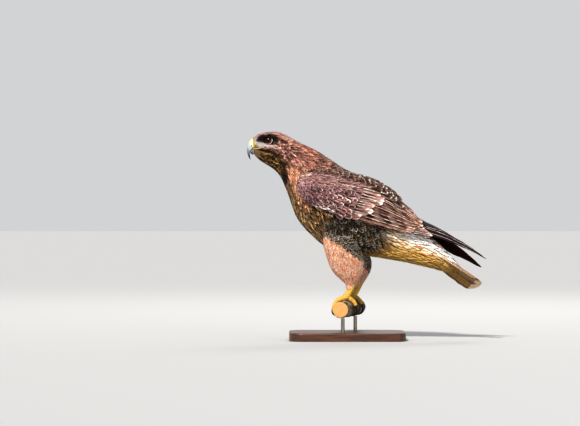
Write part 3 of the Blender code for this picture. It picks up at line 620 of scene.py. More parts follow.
@dataclass(frozen=True)
class FeatherFinish:
    """Vanes with a shaft, pale edges and tip, a dark middle and bars, all set by each feather's layers."""

    name: str
    roughness: float = 0.68
    barb_depth: float = 0.00013
    shaft: float = 0.35
    fray: float = 0.6

    def make(self) -> bpy.types.Material:
        """Builds the material."""
        made = Shading(self.name, self.roughness, Specular_IOR_Level=0.2, Sheen_Weight=0.04)
        along, across = made.uv("Vane")
        side = (across * 2.0 - 1.0).size()
        edge, tip, streak = made.parts("plan")
        count, strength, seed = made.parts("bars")
        barbs = made.vector(along * 16.0 - side * 3.0 + seed * 70.0, across * 2.5, seed * 37.0)
        ragged = made.noise(1.0, 3.0, barbs, 0.6) - 0.5
        barb = (along * 90.0 - side * 20.0 + seed * 9.0).sine()
        ground, mark, shade = (made.attribute(word) for word in ("ground", "mark", "shade"))
        middle = (streak - side + ragged * 0.5 + (streak - 0.5) * 0.2) * 5.0 * made.band(streak, 0.02, 0.08)
        tapered = middle.held() * made.band(along, 1.0, 0.75)
        colour = made.mix(tapered, ground, shade)
        wave = ((along * count * 20.0 - side * 0.35 + ragged * self.fray) * TURN + seed * 6.0).sine()
        colour = made.mix(made.band(wave, 0.0, 0.45) * strength, colour, mark)
        rim = (side + ragged * 0.35 - (1.0 - edge)) / (edge * 0.5 + 0.02)
        end = (along + ragged * 0.25 - (1.0 - tip)) / (tip * 0.4 + 0.02)
        rim = rim.held() * made.band(edge, 0.01, 0.05) * made.band(along, 0.1, 0.6)
        pale = rim.most(end.held() * made.band(tip, 0.01, 0.05))
        colour = made.mix(pale.held(), colour, mark)
        shaft = made.band(side, 0.10, 0.03) * self.shaft
        colour = made.mix(shaft, colour, shade)
        # Each feather darkens towards its root, less on plain ones: partly its grey down, partly painted
        # shade where the feathers overlap.
        deep = made.band(streak, 0.0, 0.5) * 0.42 + 0.16
        root = 1.0 - deep + made.band(along, 0.0, 0.45) * deep
        mottle_and_root_shade = root * ((barb * 0.05 + ragged * 0.35) + 1.0)
        grey = made.vector(mottle_and_root_shade, mottle_and_root_shade, mottle_and_root_shade)
        colour = made.node("VectorMath", {"operation": "MULTIPLY"}, {0: colour, 1: grey}).outputs[0]
        return made.finish(colour, barb * 0.5 + made.band(side, 0.12, 0.02) * 1.5, self.barb_depth)


@dataclass(frozen=True)
class SkinFinish:
    """The skin under the feathers, which carries the same markings as the coat."""

    name: str = "skin_under_feathers"

    def make(self) -> bpy.types.Material:
        """Builds the material."""
        made = Shading(self.name, 0.85, Specular_IOR_Level=0.15)
        ground = made.attribute("ground")
        down = made.noise(420.0, 3.0)
        return made.finish(made.mix(down * 0.6, ground, tone(30, 24, 22)), down, 0.0008)


@dataclass(frozen=True)
class BillFinish:
    """Horn or waxy skin whose colour runs with how far along it is."""

    name: str
    root: Colour
    middle: Colour
    end: Colour
    roughness: float = 0.32
    bump: float = 0.00012

    def make(self) -> bpy.types.Material:
        """Builds the material."""
        made = Shading(self.name, self.roughness, Coat_Weight=0.25, Coat_Roughness=0.25)
        along, round_it = made.uv("Along")
        cloud = made.noise(300.0, 4.0)
        at = along + (cloud - 0.5) * 0.22
        ridge = made.band((round_it * 2.0 - 1.0).size(), 0.72, 0.96) * made.band(along, 0.0, 0.3) * 0.9
        to_middle, to_end = made.band(at, 0.02, 0.45), made.band(at, 0.44, 0.78)
        colour = made.over(self.root, (to_middle, self.middle), (to_end, self.end), (ridge, self.end))
        return made.finish(colour, cloud * 0.6 + made.noise(1400.0, 2.0) * 0.3, self.bump)


@dataclass(frozen=True)
class EyeFinish:
    """A wet eye: a black pupil, a brown iris with painted shade from the brow over its upper part, and a
    dark rim.
    """

    pupil: float = 0.43
    iris: float = 0.78

    def make(self) -> bpy.types.Material:
        """Builds the material."""
        made = Shading("eye_wet", 0.12, Coat_Weight=0.35, Coat_Roughness=0.02, Specular_IOR_Level=0.12)
        away, around = made.uv("Iris")
        rays = made.noise(9.0, 4.0, made.vector(around * 12.0, away * 1.5))
        # The iris darkens over its upper part: painted shade from the brow.
        brown = made.over(
            tone(40, 15, 7), (rays, tone(118, 50, 20)),
            (made.band(away, self.iris * 0.8, self.iris) * 0.8, tone(60, 22, 9)),
            (made.band((around * TURN).sine(), -0.5, 0.6) * 0.8, tone(20, 9, 6)),
        )
        return made.finish(made.over(
            tone(3, 3, 4), (made.band(away, self.pupil, self.pupil + 0.03), brown),
            (made.band(away, self.iris, self.iris + 0.05), tone(14, 9, 8)),
        ))


@dataclass(frozen=True)
class ScaleFinish:
    """Skin of the shanks and toes: broad plates along the front and small scales round them."""

    name: str
    light: Colour
    dark: Colour
    plates: float = 13.0
    scale: float = 620.0
    depth: float = 0.0003

    def make(self) -> bpy.types.Material:
        """Builds the material."""
        made = Shading(self.name, 0.5, Coat_Weight=0.1)
        inputs = {"Vector": made.place(), "Scale": self.scale}
        cells = made.node("TexVoronoi", {"feature": "DISTANCE_TO_EDGE"}, inputs)
        small = made.band(cells.outputs[0], 0.0, 0.12)
        along, around = made.uv("Along")
        line = (along * (self.plates * TURN) + made.noise(300.0, 2.0) * 0.8).sine()
        plate = made.band(line, 0.98, 0.80)
        front = made.band((around - 0.5).size(), 0.24, 0.17)
        seam = front * plate + (1.0 - front) * small
        cloud = made.noise(160.0, 3.0)
        colour = made.over(self.light, (cloud * 0.7, self.dark), ((1.0 - seam) * 0.7, self.dark))
        return made.finish(colour, seam + made.noise(1500.0, 2.0) * 0.2, self.depth)


@dataclass(frozen=True)
class BareFinish:
    """Soft wrinkled bare skin for lids, brows and the mouth's edge; near black, the painted shade in
    nostrils and mouth.
    """

    name: str
    light: Colour
    dark: Colour
    roughness: float = 0.45

    def make(self) -> bpy.types.Material:
        """Builds the material."""
        made = Shading(self.name, self.roughness, Specular_IOR_Level=0.3)
        folds = made.noise(900.0, 3.0, made.place((0.4, 1.0, 1.6)))
        return made.finish(made.mix(folds, self.light, self.dark), folds, 0.00025)


@dataclass(frozen=True)
class LidFinish:
    """Dark lids, with a pale arc along the front of the lower one."""

    name: str = "lids"

    def make(self) -> bpy.types.Material:
        """Builds the material."""
        made = Shading(self.name, 0.55)
        turn, tube = made.uv("Along")
        folds = made.noise(900.0, 3.0)
        low = made.band((turn * TURN + 0.6).sine() + (folds - 0.5) * 0.3, -0.05, -0.55)
        front = made.band(tube, 0.08, 0.13) * made.band(tube, 0.27, 0.22)
        dark = made.mix(folds, tone(30, 21, 19), tone(12, 8, 8))
        return made.finish(made.mix(low * front * 0.9, dark, tone(214, 200, 190)), folds, 0.0002)


@dataclass(frozen=True)
class BarkFinish:
    """Bark with long cracks and lighter flakes, with pale wood on the cut ends."""

    name: str = "bark"

    def make(self) -> bpy.types.Material:
        """Builds the material."""
        made = Shading(self.name, 0.88, Specular_IOR_Level=0.2)
        along, cut = made.uv("Along")
        grain = made.noise(70.0, 6.0, made.place((1.0, 0.22, 1.0)), 0.65)
        patch = made.noise(28.0, 3.0)
        crack = made.band(grain, 0.56, 0.44)
        colour = made.over(
            tone(84, 68, 54), (grain, tone(150, 132, 112)),
            (made.band(patch, 0.52, 0.66) * 0.7, tone(164, 158, 138)), (crack * 0.6, tone(56, 46, 38)),
        )
        rings = (along * 190.0 + made.noise(40.0, 2.0) * 5.0).sine() * 0.5 + 0.5
        wood = made.mix(rings, tone(198, 160, 110), tone(166, 122, 78))
        return made.finish(made.mix(made.band(cut, 0.4, 0.6), colour, wood), grain, 0.0016)


@dataclass(frozen=True)
class WoodFinish:
    """Dark satin wood with long grain, for the stand's base."""

    name: str = "stand_wood"

    def make(self) -> bpy.types.Material:
        """Builds the material."""
        made = Shading(self.name, 0.42, Coat_Weight=0.3, Coat_Roughness=0.25)
        figure = made.noise(9.0, 4.0, made.place((0.35, 3.0, 3.0)), 0.6)
        fine = made.noise(160.0, 4.0, made.place((0.08, 1.0, 1.0)), 0.6)
        lines = (figure * 46.0).sine() * 0.5 + 0.5
        darker, darkest = (lines * 0.75, tone(58, 34, 22)), (fine * 0.5, tone(44, 26, 18))
        colour = made.over(tone(96, 60, 38), darker, darkest)
        return made.finish(colour, fine * 0.7 + lines * 0.2, 0.0002)


@dataclass(frozen=True)
class MetalFinish:
    """Brushed metal for the stand's rods."""

    name: str = "stand_metal"

    def make(self) -> bpy.types.Material:
        """Builds the material."""
        made = Shading(self.name, 0.34, Metallic=1.0)
        brushed = made.noise(700.0, 3.0, made.place((1.0, 1.0, 0.03)))
        colour = made.mix(brushed, tone(176, 170, 158), tone(132, 126, 116))
        made.feed(made.shader.inputs["Roughness"], brushed * 0.2 + 0.25)
        return made.finish(colour, brushed, 0.00005)


@dataclass(frozen=True)
class FloorFinish:
    """Plain pale matt floor."""

    colour: Colour = (0.41, 0.412, 0.415)

    def make(self) -> bpy.types.Material:
        """Builds the material."""
        made = Shading("floor_pale", 0.9, Specular_IOR_Level=0.1)
        return made.finish(made.mix(made.noise(0.8, 2.0) * 0.12, self.colour, (0.39, 0.392, 0.395)))


# Meshes


def placed(name: str, data: Any) -> bpy.types.Object:
    """Puts a new object with this data into the scene."""
    obj = bpy.data.objects.new(name, data)
    bpy.context.scene.collection.objects.link(obj)
    return obj


def solid(name: str, shape: bmesh.types.BMesh) -> bpy.types.Object:
    """Makes a finished shape an object and frees it."""
    mesh = bpy.data.meshes.new(name)
    shape.to_mesh(mesh)
    shape.free()
    return placed(name, mesh)


def shaped_grid(name: str, rows: int, columns: int, surface: Net) -> bpy.types.Object:
    """A grid laid over a surface, closed round it and at both ends.

    Args:
        name: The object's name.
        rows: Faces along the surface.
        columns: Faces across or round it.
        surface: Gives points in millimetres from shares along and round it, 0 to 1.

    Returns:
        The object, with the shares in a map named Along.
    """
    shape = bmesh.new()
    bmesh.ops.create_grid(shape, x_segments=rows, y_segments=columns, size=0.5)
    shape.verts.ensure_lookup_table()
    flat = np.array([v.co for v in shape.verts])
    shares = (flat[:, :2] - flat[:, :2].min(0)) / np.ptp(flat[:, :2], axis=0)
    layer = shape.loops.layers.uv.new("Along")
    for face in shape.faces:
        for loop in face.loops:
            loop[layer].uv = shares[loop.vert.index]
    for vertex, point in zip(shape.verts, world(surface(shares[:, 0], shares[:, 1]))):
        vertex.co = point
    bmesh.ops.remove_doubles(shape, verts=shape.verts, dist=1e-6)
    bmesh.ops.holes_fill(shape, edges=[e for e in shape.edges if e.is_boundary], sides=0)
    caps = [f for f in shape.faces if len(f.verts) > 4]
    if caps:
        bmesh.ops.poke(shape, faces=caps)
    bmesh.ops.recalc_face_normals(shape, faces=shape.faces)
    obj = solid(name, shape)
    obj.data.shade_smooth()
    return obj


def ball(
    name: str, centre: Any, radii: Sequence[float], rows: int, columns: int, order: Sequence[int] = (0, 1, 2)
) -> bpy.types.Object:
    """A ball with its own radius along each axis.

    Args:
        name: The object's name.
        centre: Its centre in millimetres.
        radii: Its radii.
        rows: Faces from pole to pole.
        columns: Faces round it.
        order: Where its own axes go, of which the last holds the poles.

    Returns:
        The object.
    """

    def surface(along: Array, around: Array) -> Array:
        """The ball's points."""
        turn, rise = around * TURN, (along - 0.5) * math.pi * 0.998
        out = np.stack((np.cos(turn) * np.cos(rise), np.sin(turn) * np.cos(rise), np.sin(rise)), -1)
        return centre + out[:, order] * radii

    return shaped_grid(name, rows, columns, surface)


def sweep(name: str, path: Array, radius: Net, rows: int, columns: int) -> bpy.types.Object:
    """A tube along a smooth path through points.

    Args:
        name: The object's name.
        path: The points in millimetres.
        radius: Gives the radius from shares along and round it.
        rows: Faces along it.
        columns: Faces round it.

    Returns:
        The object.
    """
    last = len(path) - 1.0

    def surface(along: Array, around: Array) -> Array:
        """Points of the tube."""
        at = along * last
        centre = rows_at(path, at)
        ahead = unit(rows_at(path, np.minimum(at + 0.1, last)) - rows_at(path, np.maximum(at - 0.1, 0.0)))
        across = unit(np.cross(ahead, (0.02, 0.1, 1.0)))
        up = np.cross(across, ahead)
        turn = around * TURN
        out = across * np.sin(turn)[..., None] + up * np.cos(turn)[..., None]
        return centre + out * radius(along, around)[..., None]

    return shaped_grid(name, rows, columns, surface)


def dress(obj: bpy.types.Object, material: bpy.types.Material, slot: str, *nodes: str) -> None:
    """Gives a piece its material and its place in the frame.

    Args:
        obj: The piece.
        material: Its finish.
        slot: The record's slot that it stands for. It is not used.
        nodes: The nodes that it replaces.
    """
    obj.data.materials.clear()
    obj.data.materials.append(material)
    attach(obj, "root")
    if nodes:
        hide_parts(*nodes)
    LOG.info("%s: %d faces", obj.name, len(obj.data.polygons))


# Feathers


class VaneShape(Enum):
    """Outline of a feather: shares of its length, and its width there."""

    LANCE = ((0.0, 0.30, 0.55, 0.78, 0.93, 1.0), (0.50, 0.92, 1.0, 0.74, 0.36, 0.06))
    ROUND = ((0.0, 0.28, 0.55, 0.80, 0.94, 1.0), (0.50, 0.90, 1.0, 0.94, 0.62, 0.16))


@dataclass
class Style:
    """What every feather of a tract looks like, one value or colour a feather."""

    count: int
    length: Array = field(init=False)
    half_width: Array = field(init=False)
    lift: Array = field(init=False)
    ground: Array = field(init=False)
    mark: Array = field(init=False)
    shade: Array = field(init=False)
    edge: Array = field(init=False)
    tip: Array = field(init=False)
    streak: Array = field(init=False)
    bar_count: Array = field(init=False)
    bar_strength: Array = field(init=False)

    def __post_init__(self) -> None:
        """Starts every layer at nought."""
        for word in ("length", "half_width", "lift", "edge", "tip", "streak", "bar_count", "bar_strength"):
            setattr(self, word, np.zeros(self.count))
        for word in ("ground", "mark", "shade"):
            setattr(self, word, np.zeros((self.count, 3)))

    def paint(self, mask: Any = 1.0, **values: Any) -> "Style":
        """Blends new values over the old ones where a mask says.

        Args:
            mask: 0 to 1 for each feather.
            values: New values by name, one or one for each feather.

        Returns:
            This style.
        """
        mask = np.broadcast_to(np.asarray(mask, float), (self.count,))
        for word, value in values.items():
            old = getattr(self, word)
            share = mask[:, None] if old.ndim == 2 else mask
            setattr(self, word, old * (1 - share) + np.asarray(value, float) * share)
        return self

    def some(self, chosen: Array) -> "Style":
        """The style of the chosen feathers."""
        fewer = Style(int(chosen.sum()))
        layers = {word: layer[chosen] for word, layer in vars(self).items() if word != "count"}
        return fewer.paint(**layers)

    def vary(self, draw: np.random.Generator, amount: Any) -> None:
        """Makes some feathers lighter and some darker, by an amount that may differ among them."""
        for word in ("ground", "mark", "shade"):
            factor = np.exp(draw.normal(0.0, 1.0, self.count) * amount)
            setattr(self, word, getattr(self, word) * factor[:, None])


    def clump(self, first: Array, second: Array, amount: Any) -> None:
        """Lightens and darkens neighbours together, by noise over two coordinates and an amount."""
        cloud = np.array([noise.noise(Vector((a, b, 4.0))) for a, b in zip(first, second)])
        for word in ("ground", "mark", "shade"):
            setattr(self, word, getattr(self, word) * np.exp(cloud * amount)[:, None])


class Plumes:
    """A joined mesh of many closed feathers, built from arrays."""

    def __init__(self, name: str) -> None:
        """Starts an empty mesh of that name."""
        self.name = name
        self.points, self.quads, self.vane, self.bake = ([] for _ in range(4))
        words = ("ground", "mark", "shade", "plan", "bars")
        self.layers: dict[str, list[Array]] = {word: [] for word in words}
        self.total = 0

    def add(self, points: Array, quads: Array, vane: Array, bake: Array, style: Style, seed: Array) -> None:
        """Adds feathers that share one net of faces.

        Args:
            points: Feathers, points of each, and three coordinates in millimetres.
            quads: The corners of the faces of one feather.
            vane: For each corner of each face, the share along and across the feather.
            bake: For each feather and corner of each face, its place in the closing map.
            style: The look of each feather.
            seed: A random share for each feather.
        """
        count, size = points.shape[:2]
        starts = self.total + np.arange(count)[:, None, None] * size
        self.points.append(world(points).reshape(-1, 3))
        self.quads.append((quads[None] + starts).reshape(-1, 4))
        self.vane.append(np.broadcast_to(vane[None], (count, *vane.shape)).reshape(-1, 2))
        self.bake.append(bake.reshape(-1, 2))
        plan = np.stack((style.edge, style.tip, style.streak), -1)
        bars = np.stack((style.bar_count / 20.0, style.bar_strength, seed), -1)
        rows = {"ground": style.ground, "mark": style.mark, "shade": style.shade, "plan": plan, "bars": bars}
        for word, colours in rows.items():
            full = np.concatenate((colours, np.ones((count, 1))), 1)
            self.layers[word].append(np.repeat(full, size, axis=0))
        self.total += count * size

    def build(self) -> bpy.types.Object:
        """Makes the object."""
        points, quads = np.concatenate(self.points), np.concatenate(self.quads)
        mesh = bpy.data.meshes.new(self.name)
        mesh.vertices.add(len(points))
        mesh.vertices.foreach_set("co", points.astype(np.float32).ravel())
        mesh.loops.add(quads.size)
        mesh.loops.foreach_set("vertex_index", quads.astype(np.int32).ravel())
        mesh.polygons.add(len(quads))
        mesh.polygons.foreach_set("loop_start", np.arange(0, quads.size, 4, dtype=np.int32))
        mesh.update(calc_edges=True)
        for name, rows in (("Vane", self.vane), ("OFBake", self.bake)):
            layer = mesh.uv_layers.new(name=name)
            layer.uv.foreach_set("vector", np.concatenate(rows).astype(np.float32).ravel())
        for word, rows in self.layers.items():
            layer = mesh.attributes.new(word, "FLOAT_COLOR", "POINT")
            layer.data.foreach_set("color", np.concatenate(rows).astype(np.float32).ravel())
        mesh.shade_smooth()
        return placed(self.name, mesh)


@dataclass
class Roots:
    """Where the small feathers of a tract grow, and how they lie there.

    The two coordinates are those of the surface that they lie on. The unwrap is each root's place on the
    skin's own map, 0 to 1. The depth is how far the root is sunk, and the yaw turns the feather.
    """

    first: Array
    second: Array
    unwrap: Array
    depth: Array
    yaw: Array

    def some(self, chosen: Array) -> "Roots":
        """The chosen roots."""
        return Roots(*(layer[chosen] for layer in vars(self).values()))


def staggered(first: float, last: float, ring: Ring) -> tuple[Array, Array]:
    """Roots in rings, every other one shifted.

    Args:
        first: Where the first ring is.
        last: Where no ring is any more.
        ring: Gives both coordinates of a ring's roots and the step to the next ring, from where the ring is
            and 0 or 1 for whether it is shifted.

    Returns:
        Both coordinates of all the roots.
    """
    rings, at, odd = [], first, 0
    while at < last:
        *roots, step = ring(at, odd)
        rings.append(roots)
        at, odd = at + step, 1 - odd
    return tuple(np.concatenate(each) for each in zip(*rings))


def on_unwrap(first: Array, second: Array, first_end: float, second_end: float) -> Array:
    """Places on a map with a narrow margin, from two coordinates and their ends."""
    return np.stack((0.01 + 0.97 * first / first_end, 0.01 + 0.97 * second / second_end), -1)


def outward(points: Array, quads: Array) -> Array:
    """The faces turned so that they enclose the points' solid from outside.

    Args:
        points: Bodies, points of each, and three coordinates.
        quads: The corners of one body's faces.

    Returns:
        The faces, reversed where they pointed inwards.
    """
    corner = points[:, quads] - points.mean(1)[:, None, None]
    first, second = corner[:, :, 2] - corner[:, :, 0], corner[:, :, 3] - corner[:, :, 1]
    volume = (corner.mean(2) * np.cross(first, second)).sum()
    return quads if volume > 0 else quads[:, ::-1]


def small_feathers(
    plumes: Plumes, surface: Surface, roots: Roots, style: Style, shape: VaneShape,
    draw: np.random.Generator, keep_out: Optional[Callable[[Array], Array]] = None,
) -> None:
    """Lays small feathers over a surface, each a thin closed blade that follows it.

    Args:
        plumes: Takes the feathers.
        surface: The surface that they lie on.
        roots: Where they grow on it.
        style: The look of each feather.
        shape: Their outline.
        draw: The source of small differences.
        keep_out: Gives how far each point is outside what the feathers may not cover, in millimetres.
    """
    step, crown_height, blade_thick = 1e-2, 0.10, 0.12
    first, second = roots.first, roots.second
    nought = np.zeros_like(first)
    base = surface(first, second, nought)
    along_first = (surface(first + step, second, nought) - base) / step
    along_second = (surface(first, second + step, nought) - base) / step
    aft = unit(along_first)
    normal = unit(np.cross(along_first, along_second))
    across = np.cross(normal, aft)
    yaw = (roots.yaw + draw.normal(0.0, 0.13, len(first)))[:, None]
    ahead, beside = aft * np.cos(yaw) + across * np.sin(yaw), across * np.cos(yaw) - aft * np.sin(yaw)

    def in_surface(direction: Array) -> Array:
        """Steps of both coordinates for a millimetre in a direction."""
        aa = (along_first**2).sum(-1)
        ab = (along_first * along_second).sum(-1)
        bb = (along_second**2).sum(-1)
        a, b = (along_first * direction).sum(-1), (along_second * direction).sum(-1)
        room = np.maximum(aa * bb - ab**2, 1e-9)
        return np.stack(((a * bb - b * ab) / room, (b * aa - a * ab) / room), -1)

    forward, sideways = in_surface(ahead), in_surface(beside)
    shares, widths = (np.array(row) for row in shape.value)
    length = style.length * np.exp(draw.normal(0.0, 0.08, len(first)))

    def lay(length: Array) -> Array:
        """The points of every feather at these lengths."""
        run = shares[None, :, None] * length[:, None, None]
        wide = widths[None, :, None] * SECTION[None, None, :] * style.half_width[:, None, None]
        a = first[:, None, None] + forward[:, 0, None, None] * run + sideways[:, 0, None, None] * wide
        b = second[:, None, None] + forward[:, 1, None, None] * run + sideways[:, 1, None, None] * wide
        rise = -roots.depth[:, None] * (1 - shares[None]) ** 1.15 + style.lift[:, None] * shares[None] ** 2
        body = np.minimum(1.0, 3.0 * (1.02 - shares))[None, :, None] * style.half_width[:, None, None]
        crown = np.array((0.0, crown_height, 0.0, crown_height - blade_thick))[None, None] * body
        crown = crown * widths[None, :, None]
        return surface(a, b, rise[:, :, None] + crown)

    points = lay(length)
    kept = np.ones(len(first), bool)
    if keep_out is not None:
        for _ in range(5):
            bad = keep_out(points).min(axis=(1, 2)) < 0
            length = np.where(bad, length * 0.72, length)
            points = lay(length)
        kept = keep_out(points).min(axis=(1, 2)) >= 0
    rows = len(shares)
    corner = np.arange(rows * 4).reshape(rows, 4)
    after = np.roll(corner, -1, axis=1)
    sides = np.stack((corner[:-1], after[:-1], after[1:], corner[1:]), -1).reshape(-1, 4)
    quads = np.concatenate((sides, corner[:1, ::-1], corner[-1:]))
    quads = outward(points.reshape(len(points), rows * 4, 3), quads)
    places = np.stack((np.repeat(shares, 4), np.tile(SECTION * 0.5 + 0.5, rows)), -1)
    vane = places[quads]
    bake = roots.unwrap[:, None, None, :] + (vane[None, ..., ::-1] - (0.5, 0.0)) * PATCH
    plumes.add(
        points[kept].reshape(-1, rows * 4, 3), quads, vane, bake[kept], style.some(kept),
        draw.uniform(0.0, 1.0, len(first))[kept],
    )


def tract(
    name: str, surface: Surface, roots: Roots, style: Style, outlines: Sequence[tuple[VaneShape, Array]],
    draw: np.random.Generator, keep_out: Optional[Callable[[Array], Array]] = None,
) -> bpy.types.Object:
    """Makes a piece of small feathers.

    Args:
        name: The piece's name.
        surface: The surface that the feathers lie on.
        roots: Where they grow on it.
        style: The look of each feather.
        outlines: Each outline, with a mask of the feathers that have it.
        draw: The source of small differences.
        keep_out: Gives how far each point is outside what the feathers may not cover, in millimetres.

    Returns:
        The piece.
    """
    plumes = Plumes(name)
    for shape, chosen in outlines:
        if chosen.any():
            small_feathers(plumes, surface, roots.some(chosen), style.some(chosen), shape, draw, keep_out)
    return plumes.build()


@dataclass
class LongVane:
    """One large feather: what it lies on and how wide it is along its length."""

    place: Callable[[Array, Array, Array], Array]
    half_width: float
    steps: Sequence[float]
    widths: Sequence[float]
    thick: float = 0.45


def long_feathers(
    plumes: Plumes, vanes: Sequence[LongVane], style: Style, draw: np.random.Generator, rows: int = 14,
    columns: int = 6, first_cell: int = 0, cells: int = 10,
) -> None:
    """Adds large feathers, each a thin closed vane with a raised shaft and a rounded end.

    Args:
        plumes: Takes the feathers.
        vanes: The feathers.
        style: The look of each.
        draw: The source of small differences.
        rows: Faces along each.
        columns: Faces across each.
        first_cell: The first free cell of the closing map.
        cells: Cells along each side of that map.
    """
    v = 1 - (1 - np.linspace(0.0, 1.0, rows + 1)) ** 1.35
    u = np.linspace(-1.0, 1.0, columns + 1)
    net = np.arange((rows + 1) * (columns + 1)).reshape(rows + 1, columns + 1)
    top = np.stack((net[:-1, :-1], net[1:, :-1], net[1:, 1:], net[:-1, 1:]), -1).reshape(-1, 4)
    under = top[:, ::-1] + net.size
    rim = np.concatenate((net[:, 0], net[-1, 1:], net[-2::-1, -1], net[0, -2:0:-1]))
    after = np.roll(rim, -1)
    walls = np.stack((rim, rim + net.size, after + net.size, after), -1)
    quads = np.concatenate((top, under, walls))
    flat = np.stack(np.meshgrid(v, u * 0.5 + 0.5, indexing="ij"), -1).reshape(-1, 2)
    both = np.concatenate((flat, flat))
    is_under = np.zeros(len(quads), bool)
    is_under[len(top):len(top) + len(under)] = True
    points, bake = [], []
    for number, vane in enumerate(vanes):
        widths = vane.half_width * np.interp(v, vane.steps, vane.widths)
        ragged = 1 + 0.05 * draw.uniform(-1.0, 1.0, (rows + 1, 1)) * np.abs(u)[None]
        across = u[None] * widths[:, None] * ragged
        along = np.broadcast_to(v[:, None], across.shape)
        shaft = 0.30 * np.maximum(0.0, 1 - np.abs(u) * 4)[None] * (1 - 0.8 * along)
        thick = vane.thick * (0.55 + 0.45 * (1 - along))
        faces = [vane.place(along, across, -shaft), vane.place(along, across, thick + 0 * shaft)]
        points.append(np.concatenate([face.reshape(-1, 3) for face in faces]))
        if number == 0:
            quads = outward(points[0][None], quads)
            vane_map = both[quads]
        cell = (first_cell + 2 * number + is_under.astype(int))[:, None]
        corner = np.stack((cell % cells, cell // cells), -1)
        bake.append((corner + 0.06 + 0.88 * vane_map) / cells)
    plumes.add(np.array(points), quads, vane_map, np.array(bake), style, draw.uniform(0.0, 1.0, len(vanes)))


# Colours of the plumage, as they look on a screen


